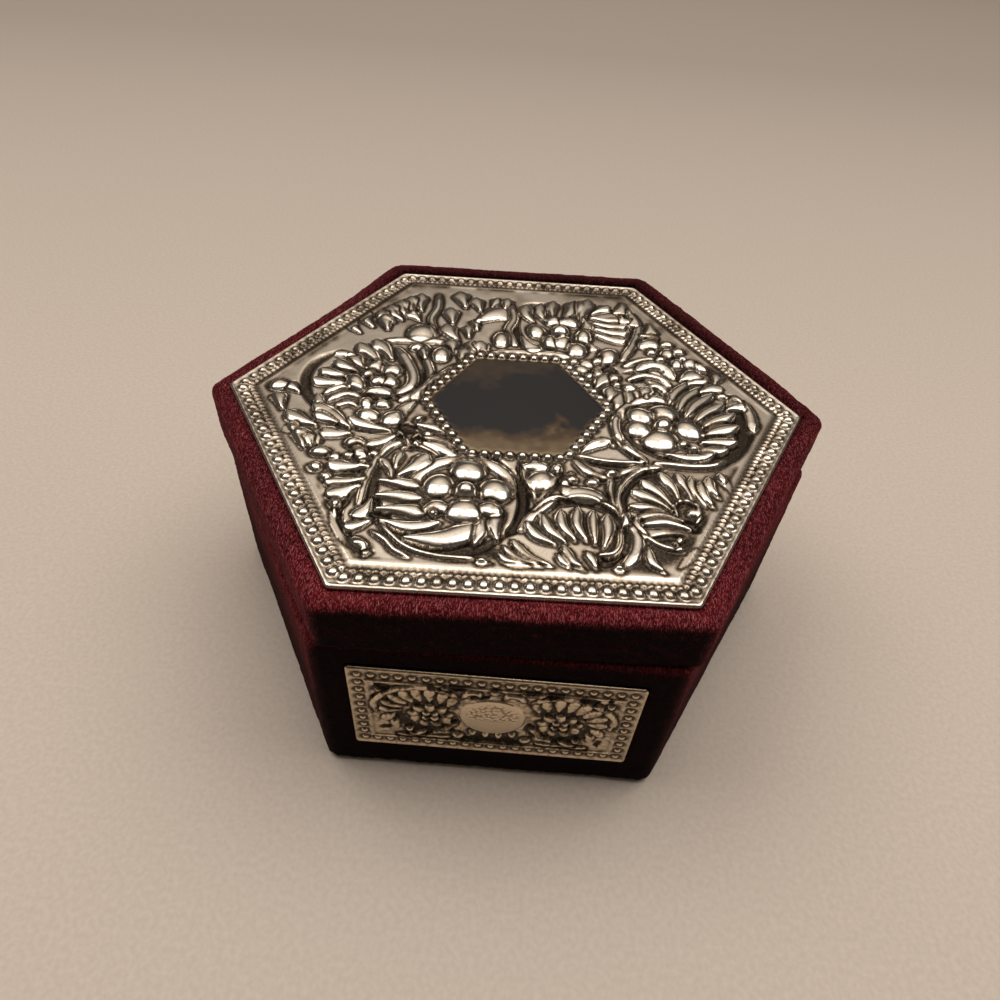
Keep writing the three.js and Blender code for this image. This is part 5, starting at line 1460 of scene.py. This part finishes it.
def side_plate_piece(material):
    """The front wall's embossed plate."""
    relief = side_relief()
    unit = (SIDE_PLATE_HIGH.x - SIDE_PLATE_LOW.x) / SIDE_DRAWN_WIDTH
    unit_up = (SIDE_PLATE_HIGH.z - SIDE_PLATE_LOW.z) / SIDE_DRAWN_HEIGHT
    middle = (SIDE_PLATE_LOW.z + SIDE_PLATE_HIGH.z) / 2
    half_wide, half_high = SIDE_DRAWN_WIDTH / 2 - SIDE_LIP, SIDE_DRAWN_HEIGHT / 2 - SIDE_LIP
    columns, rows = int(SIDE_DRAWN_WIDTH / SIDE_STEP) + 1, int(SIDE_DRAWN_HEIGHT / SIDE_STEP) + 1
    across = np.linspace(-half_wide, half_wide, columns)
    px, py = np.meshgrid(across, np.linspace(-half_high, half_high, rows))
    px, py = rounded_place(px.ravel(), py.ravel(), half_wide, half_high, SIDE_CORNER)
    height = np.clip(sampled(relief, relief.height, px, py), SIDE_DEEPEST, None)
    front = PLATE_THICK / unit
    top = np.column_stack([px, py, front + height])
    index = np.arange(columns * rows).reshape(rows, columns)
    corners = index[:-1, :-1], index[:-1, 1:], index[1:, 1:], index[1:, :-1]
    quads = np.column_stack([corner.ravel() for corner in corners])
    rim = np.concatenate([index[0, :-1], index[:-1, -1], index[-1, :0:-1], index[:0:-1, 0]])
    top[rim, 2] = front - RIM_DROP
    ways = top[rim, :2] / np.array([half_wide, half_high])
    ways = np.sign(ways) * (np.abs(ways) > 0.985)
    extra, edge, fan = closed_sheet(top, rim, 0.0, SIDE_LIP, ways)
    x, y, z = np.concatenate([top, extra]).T
    points = np.column_stack([x * unit, SIDE_PLATE_HIGH.y - z * unit, middle + y * unit_up])
    piece = mesh_object("side_plate_embossed", points, [quads, edge, fan])
    tarnish = sampled(relief, relief.tarnish, px, py)
    point_value(piece, "tarnish", np.append(tarnish, np.full(len(extra), 0.3)))
    point_value(piece, "shield", np.zeros(len(points)))
    plate_map(piece, px / SIDE_DRAWN_WIDTH * 0.96 + 0.5, py / SIDE_DRAWN_WIDTH * 0.96 + 0.5, 0.96)
    finished(piece, "base", "silver", material, "side_plate_front")


def rounded_place(x, y, half_wide, half_high, radius):
    """Moves the places in a rectangle's corners so that its outline has round corners."""
    dx = np.abs(x) - (half_wide - radius)
    dy = np.abs(y) - (half_high - radius)
    corner = (dx > 0) & (dy > 0)
    share = np.where(corner, np.maximum(dx, dy) / np.maximum(np.hypot(dx, dy), 1e-9), 1)
    x = np.where(corner, np.sign(x) * (half_wide - radius + dx * share), x)
    y = np.where(corner, np.sign(y) * (half_high - radius + dy * share), y)
    return x, y


# Materials
def new_material(name):
    """A node material: itself, its tree, its shader and the place on the object."""
    material = bpy.data.materials.new(name)
    material.use_nodes = True
    tree = material.node_tree
    shader = tree.nodes["Principled BSDF"]
    place = tree.nodes.new("ShaderNodeTexCoord").outputs["Object"]
    return material, tree, shader, place


def connect(tree, made, inputs):
    """Sets a node's inputs, given by name or place, each to a value or to another node's output."""
    for key, value in inputs.items():
        socket = made.inputs[key]
        if isinstance(value, bpy.types.NodeSocket):
            tree.links.new(value, socket)
        else:
            socket.default_value = value


def node(tree, kind, inputs=None, **settings):
    """A shader node with its settings and inputs."""
    made = tree.nodes.new(kind)
    for key, value in settings.items():
        setattr(made, key, value)
    connect(tree, made, inputs or {})
    return made


def stored(tree, name):
    """A number that the mesh stores on its points."""
    return node(tree, "ShaderNodeAttribute", attribute_name=name).outputs["Fac"]


def noise(tree, place, size, detail=2.0, roughness=0.5):
    """Noise whose bumps are about size across, from 0 to 1."""
    inputs = {"Vector": place, "Scale": 1 / size, "Detail": detail, "Roughness": roughness}
    return node(tree, "ShaderNodeTexNoise", inputs).outputs["Fac"]


def ramp(tree, value, *stops):
    """Colours or greys along a value. Each stop is (place, colour)."""
    made = node(tree, "ShaderNodeValToRGB", {"Fac": value})
    elements = made.color_ramp.elements
    while len(elements) < len(stops):
        elements.new(0.5)
    for element, (at, colour) in zip(elements, stops):
        element.position = at
        element.color = (*colour, 1) if hasattr(colour, "__len__") else (colour, colour, colour, 1)
    return made.outputs["Color"]


def mixed(tree, share, first, second, how="MIX"):
    """Two colours mixed by a share."""
    made = node(tree, "ShaderNodeMix", data_type="RGBA", blend_type=how)
    sockets = {s.identifier: s for s in made.inputs}
    for key, value in (("Factor_Float", share), ("A_Color", first), ("B_Color", second)):
        if isinstance(value, bpy.types.NodeSocket):
            tree.links.new(value, sockets[key])
        else:
            sockets[key].default_value = (*value, 1) if hasattr(value, "__len__") else value
    return {s.identifier: s for s in made.outputs}["Result_Color"]


def shaded(tree, colour, share):
    """A colour darkened by a share."""
    return mixed(tree, 1.0, colour, share, "MULTIPLY")


def maths(tree, how, first, second=0.0):
    """What one operation makes of one or two numbers."""
    return node(tree, "ShaderNodeMath", {0: first, 1: second}, operation=how).outputs[0]


def plus(tree, first, second):
    """A sum."""
    return maths(tree, "ADD", first, second)


def times(tree, first, second):
    """A product."""
    return maths(tree, "MULTIPLY", first, second)


def bumped(tree, height, depth, strength):
    """The surface's direction, with bumps from a height in 0 to 1."""
    inputs = {"Height": height, "Distance": depth, "Strength": strength}
    return node(tree, "ShaderNodeBump", inputs).outputs["Normal"]


def strands(tree, place, laid):
    """Short thin strokes from 0 to 1, laid two ways. Each way is (angle, thinness, length, least noise)."""
    ways = []
    for angle, thinness, length, least in laid:
        inputs = {"Vector": place, "Rotation": (0, 0, angle), "Scale": (thinness, 1.0, 1.0)}
        stretched = node(tree, "ShaderNodeMapping", inputs).outputs[0]
        ways.append(ramp(tree, noise(tree, stretched, length), (least, 0.0), (least + 0.10, 1.0)))
    return maths(tree, "MAXIMUM", *ways)


FIBRES = ((1.0, 3.5, 0.5 * MM, 0.57), (-0.8, 3.5, 0.5 * MM, 0.57))
HAIRS = ((1.4, 8.0, 1.7 * MM, 0.65), (0.3, 8.0, 1.5 * MM, 0.66))


def velvet_material(name, deep, mid, tip, pale, sheen, upper=1.0, takes_painted_light=False):
    """Short pile velvet: dark between the tufts, pale strokes that are partly pale fibres and partly painted
    sheen where fibres catch the light, and brushed patches. Painted shade makes it nearly black on a wall,
    and upper is the share of painted light where it faces up. It can also take painted light and shade stored
    on its points."""
    material, tree, shader, place = new_material(name)
    fibre = noise(tree, place, 0.28 * MM, 3, 0.65)
    tuft = noise(tree, place, 0.9 * MM)
    pile = plus(tree, times(tree, fibre, 0.65), times(tree, tuft, 0.35))
    colour = ramp(tree, pile, (0.30, deep), (0.52, mid), (0.72, tip))
    colour = shaded(tree, colour, ramp(tree, noise(tree, place, 9 * MM), (0.35, 0.75), (0.65, 1.0)))
    # Painted light and shade by facing: walls are painted nearly black and faces turned up or sideways are
    # painted lighter, and the sheen follows the same share
    way = node(tree, "ShaderNodeTexCoord").outputs["Normal"]
    parts = node(tree, "ShaderNodeSeparateXYZ", {0: way}).outputs
    turned_away = times(tree, maths(tree, "ABSOLUTE", parts["X"]), 0.55)
    flatness = plus(tree, parts["Z"], turned_away)
    laid = ramp(tree, flatness, (0.0, 0.03), (0.3, 0.22 * upper), (0.75, upper))
    # Pale strokes: partly pale fibres, partly painted sheen where fibres catch the light
    strokes = times(tree, strands(tree, place, FIBRES), 0.6)
    strokes = maths(tree, "MAXIMUM", strokes, strands(tree, place, HAIRS))
    colour = mixed(tree, strokes, colour, pale)
    # The painted light and shade stored on the points lightens or darkens it further
    if takes_painted_light:
        laid = times(tree, laid, stored(tree, "painted_light_and_shade"))
    connect(tree, shader, {
        "Base Color": shaded(tree, colour, laid),
        "Roughness": 0.92,
        "Specular IOR Level": 0.08,
        "Sheen Weight": times(tree, laid, sheen),
        "Sheen Roughness": 0.38,
        "Sheen Tint": (0.78, 0.09, 0.14, 1),
        "Normal": bumped(tree, pile, 0.35 * MM, 0.9),
    })
    return material


BROWN_FILM = (0.34, 0.25, 0.17)
BLACK_FILM = (0.022, 0.016, 0.012)
DULL_GRAIN = (0.25, 0.20, 0.15)
STAIN = ((0.25, (0.27, 0.215, 0.145)), (0.5, (0.135, 0.10, 0.07)), (0.85, (0.050, 0.050, 0.056)))


def silver_material(name, bright, film):
    """Stamped silver sheet: brown film in the recesses, blotches and a dull grain."""
    material, tree, shader, place = new_material(name)
    dark = stored(tree, "tarnish")
    blotch = noise(tree, place, 7 * MM, 4, 0.6)
    grain = noise(tree, place, 0.35 * MM, 3, 0.6)
    film_share = times(tree, ramp(tree, blotch, (0.42, 0.0), (0.72, 1.0)), 0.35)
    colour = mixed(tree, film_share, bright, film)
    soot = times(tree, dark, plus(tree, times(tree, grain, 1.3), 0.35))
    colour = mixed(tree, ramp(tree, soot, (0.03, 0.0), (0.35, 0.8)), colour, BROWN_FILM)
    colour = mixed(tree, ramp(tree, soot, (0.18, 0.0), (0.62, 0.9), (1.0, 0.97)), colour, BLACK_FILM)
    dull = times(tree, ramp(tree, grain, (0.35, 1.0), (0.55, 0.0)), 0.16)
    colour = mixed(tree, dull, colour, DULL_GRAIN)
    stain = stored(tree, "shield")
    colour = mixed(tree, ramp(tree, stain, (0.0, 0.0), (0.18, 1.0)), colour, ramp(tree, stain, *STAIN))
    rough = plus(tree, times(tree, grain, 0.10), times(tree, dark, 0.25))
    connect(tree, shader, {
        "Base Color": colour,
        "Metallic": 1.0,
        "Roughness": plus(tree, rough, 0.13),
        "Normal": bumped(tree, grain, 0.02 * MM, 0.5),
    })
    return material


def board_material(name):
    """Grey-brown bookbinding board with pressed fibres."""
    material, tree, shader, place = new_material(name)
    fibre = noise(tree, place, 0.6 * MM, 5, 0.7)
    cloud = ramp(tree, noise(tree, place, 6 * MM), (0.3, 0.85), (0.7, 1.0))
    colour = ramp(tree, fibre, (0.3, (0.26, 0.21, 0.155)), (0.7, (0.46, 0.39, 0.30)))
    connect(tree, shader, {
        "Base Color": shaded(tree, colour, cloud),
        "Roughness": 0.9,
        "Normal": bumped(tree, fibre, 0.1 * MM, 0.6),
    })
    return material


def floor_material():
    """Plain pale cloth that the box stands on, with painted shade that darkens it behind."""
    material, tree, shader, place = new_material("floor_cloth")
    weave = noise(tree, place, 0.8 * MM)
    colour = ramp(tree, weave, (0.3, (0.67, 0.585, 0.515)), (0.7, (0.74, 0.65, 0.575)))
    # Painted shade: the cloth grows darker towards the back
    depth = node(tree, "ShaderNodeSeparateXYZ", {0: place}).outputs["Y"]
    colour = shaded(tree, colour, ramp(tree, depth, (0.05, 1.0), (0.40, 0.68)))
    connect(tree, shader, {"Base Color": colour, "Roughness": 0.95, "Specular IOR Level": 0.05})
    return material


# Stage
def floor():
    """A wide pale floor under the box."""
    half = 4.0
    points = np.array([[-half, -half, 0], [half, -half, 0], [half, half, 0], [-half, half, 0]])
    piece = mesh_object("floor", points, [np.array([[0, 1, 2, 3]])], smooth=False)
    piece.data.materials.append(floor_material())


def panel(name, place, size, radiance, colour):
    """A soft rectangular lamp that faces the box."""
    lamp = bpy.data.lights.new(name, "AREA")
    lamp.shape = "RECTANGLE"
    lamp.size, lamp.size_y = size
    lamp.energy = radiance * math.pi * size[0] * size[1]
    lamp.color = colour
    lamp_object = bpy.data.objects.new(name, lamp)
    lamp_object.location = place
    lamp_object.rotation_euler = (-Vector(place)).to_track_quat("-Z", "Y").to_euler()
    bpy.context.scene.collection.objects.link(lamp_object)


def lamps():
    """Soft lamps, high to the left and right, and a small one over the front."""
    warm = (1.0, 0.96, 0.90)
    for name, side in (("lamp_left", -1), ("lamp_right", 1)):
        panel(name, (side * 0.52, 0.16, 1.0), (0.70, 0.66), 2.13, warm)
    panel("lamp_front", (0.06, 0.0, 1.05), (0.40, 0.30), 2.9, warm)


# Light of the room by how far up and back it comes from
ROOM = (
    (0.0, (0.11, 0.093, 0.078)),
    (0.25, (0.06, 0.05, 0.042)),
    (0.64, (0.06, 0.05, 0.042)),
    (0.76, (0.36, 0.31, 0.26)),
    (0.88, (0.64, 0.55, 0.465)),
    (1.0, (1.05, 0.91, 0.78)),
)


def world():
    """A dim room: dark in front and at the horizon, light high above the back."""
    made = bpy.data.worlds.new("room")
    bpy.context.scene.world = made
    made.use_nodes = True
    tree = made.node_tree
    way = tree.nodes.new("ShaderNodeTexCoord").outputs["Generated"]
    parts = node(tree, "ShaderNodeSeparateXYZ", {0: way}).outputs
    lean = plus(tree, parts["Z"], times(tree, parts["Y"], 0.35))
    aside = times(tree, maths(tree, "ABSOLUTE", parts["X"]), 0.14)
    colour = ramp(tree, maths(tree, "SUBTRACT", lean, aside), *ROOM)
    connect(tree, tree.nodes["Background"], {"Color": colour, "Strength": 1.0})


# The photograph's viewpoint, worked out from the lid plate's corners in it
FOCAL_MM = 26.39
VIEW_PLACE = (-0.89 * MM, -95.97 * MM, 111.18 * MM)
VIEW_DEGREES = (45.689, -3.061, 3.432)


def camera():
    """A camera at the photograph's viewpoint."""
    lens = bpy.data.cameras.new("camera")
    lens.lens = FOCAL_MM
    lens.sensor_width = 36
    lens.clip_start = 0.005
    made = bpy.data.objects.new("camera", lens)
    made.location = VIEW_PLACE
    made.rotation_euler = [math.radians(a) for a in VIEW_DEGREES]
    bpy.context.scene.collection.objects.link(made)
    bpy.context.scene.camera = made


camera()
floor()
lamps()
world()

VELVET_DEEP = (0.018, 0.0008, 0.0018)
VELVET_MID = (0.085, 0.0045, 0.008)
velvet = velvet_material(
    "velvet_burgundy", VELVET_DEEP, VELVET_MID, (0.26, 0.026, 0.038), (0.48, 0.13, 0.14), 0.15, takes_painted_light=True
)
# velvet_base is a shaded copy of the lid's velvet: painted shade halves its light where it faces up and dims
# its pale strokes and sheen, for the base under the lid's edge
base_velvet = velvet_material(
    "velvet_base", VELVET_DEEP, VELVET_MID, (0.26, 0.03, 0.04), (0.32, 0.08, 0.08), 0.10, 0.5, takes_painted_light=True
)
lining_cloth = velvet_material(
    "lining_burgundy", (0.03, 0.003, 0.006), (0.1, 0.01, 0.019), (0.22, 0.05, 0.07), (0.30, 0.09, 0.10), 0.4
)
felt_cloth = velvet_material(
    "felt_dark", (0.010, 0.003, 0.004), (0.030, 0.008, 0.010), (0.06, 0.02, 0.025), (0.09, 0.04, 0.045), 0.2
)
silver = silver_material("silver_lid", (0.90, 0.85, 0.765), (0.56, 0.46, 0.33))
side_silver = silver_material("silver_side", (0.66, 0.545, 0.39), (0.42, 0.30, 0.18))
board = board_material("board_grey")

base_velvet_piece(base_velvet)
lid_velvet_piece(velvet)
neck_lining_piece(lining_cloth)
well_pad_piece(lining_cloth)
lid_lining_piece(lining_cloth)
foot_felt_piece(felt_cloth)
lid_plate_piece(silver)
side_plate_piece(side_silver)
for name, cad in frame["nodes"].items():
    if "board" in name:
        cad.data.materials.clear()
        cad.data.materials.append(board)

bpy.context.scene.view_settings.view_transform = "Standard"
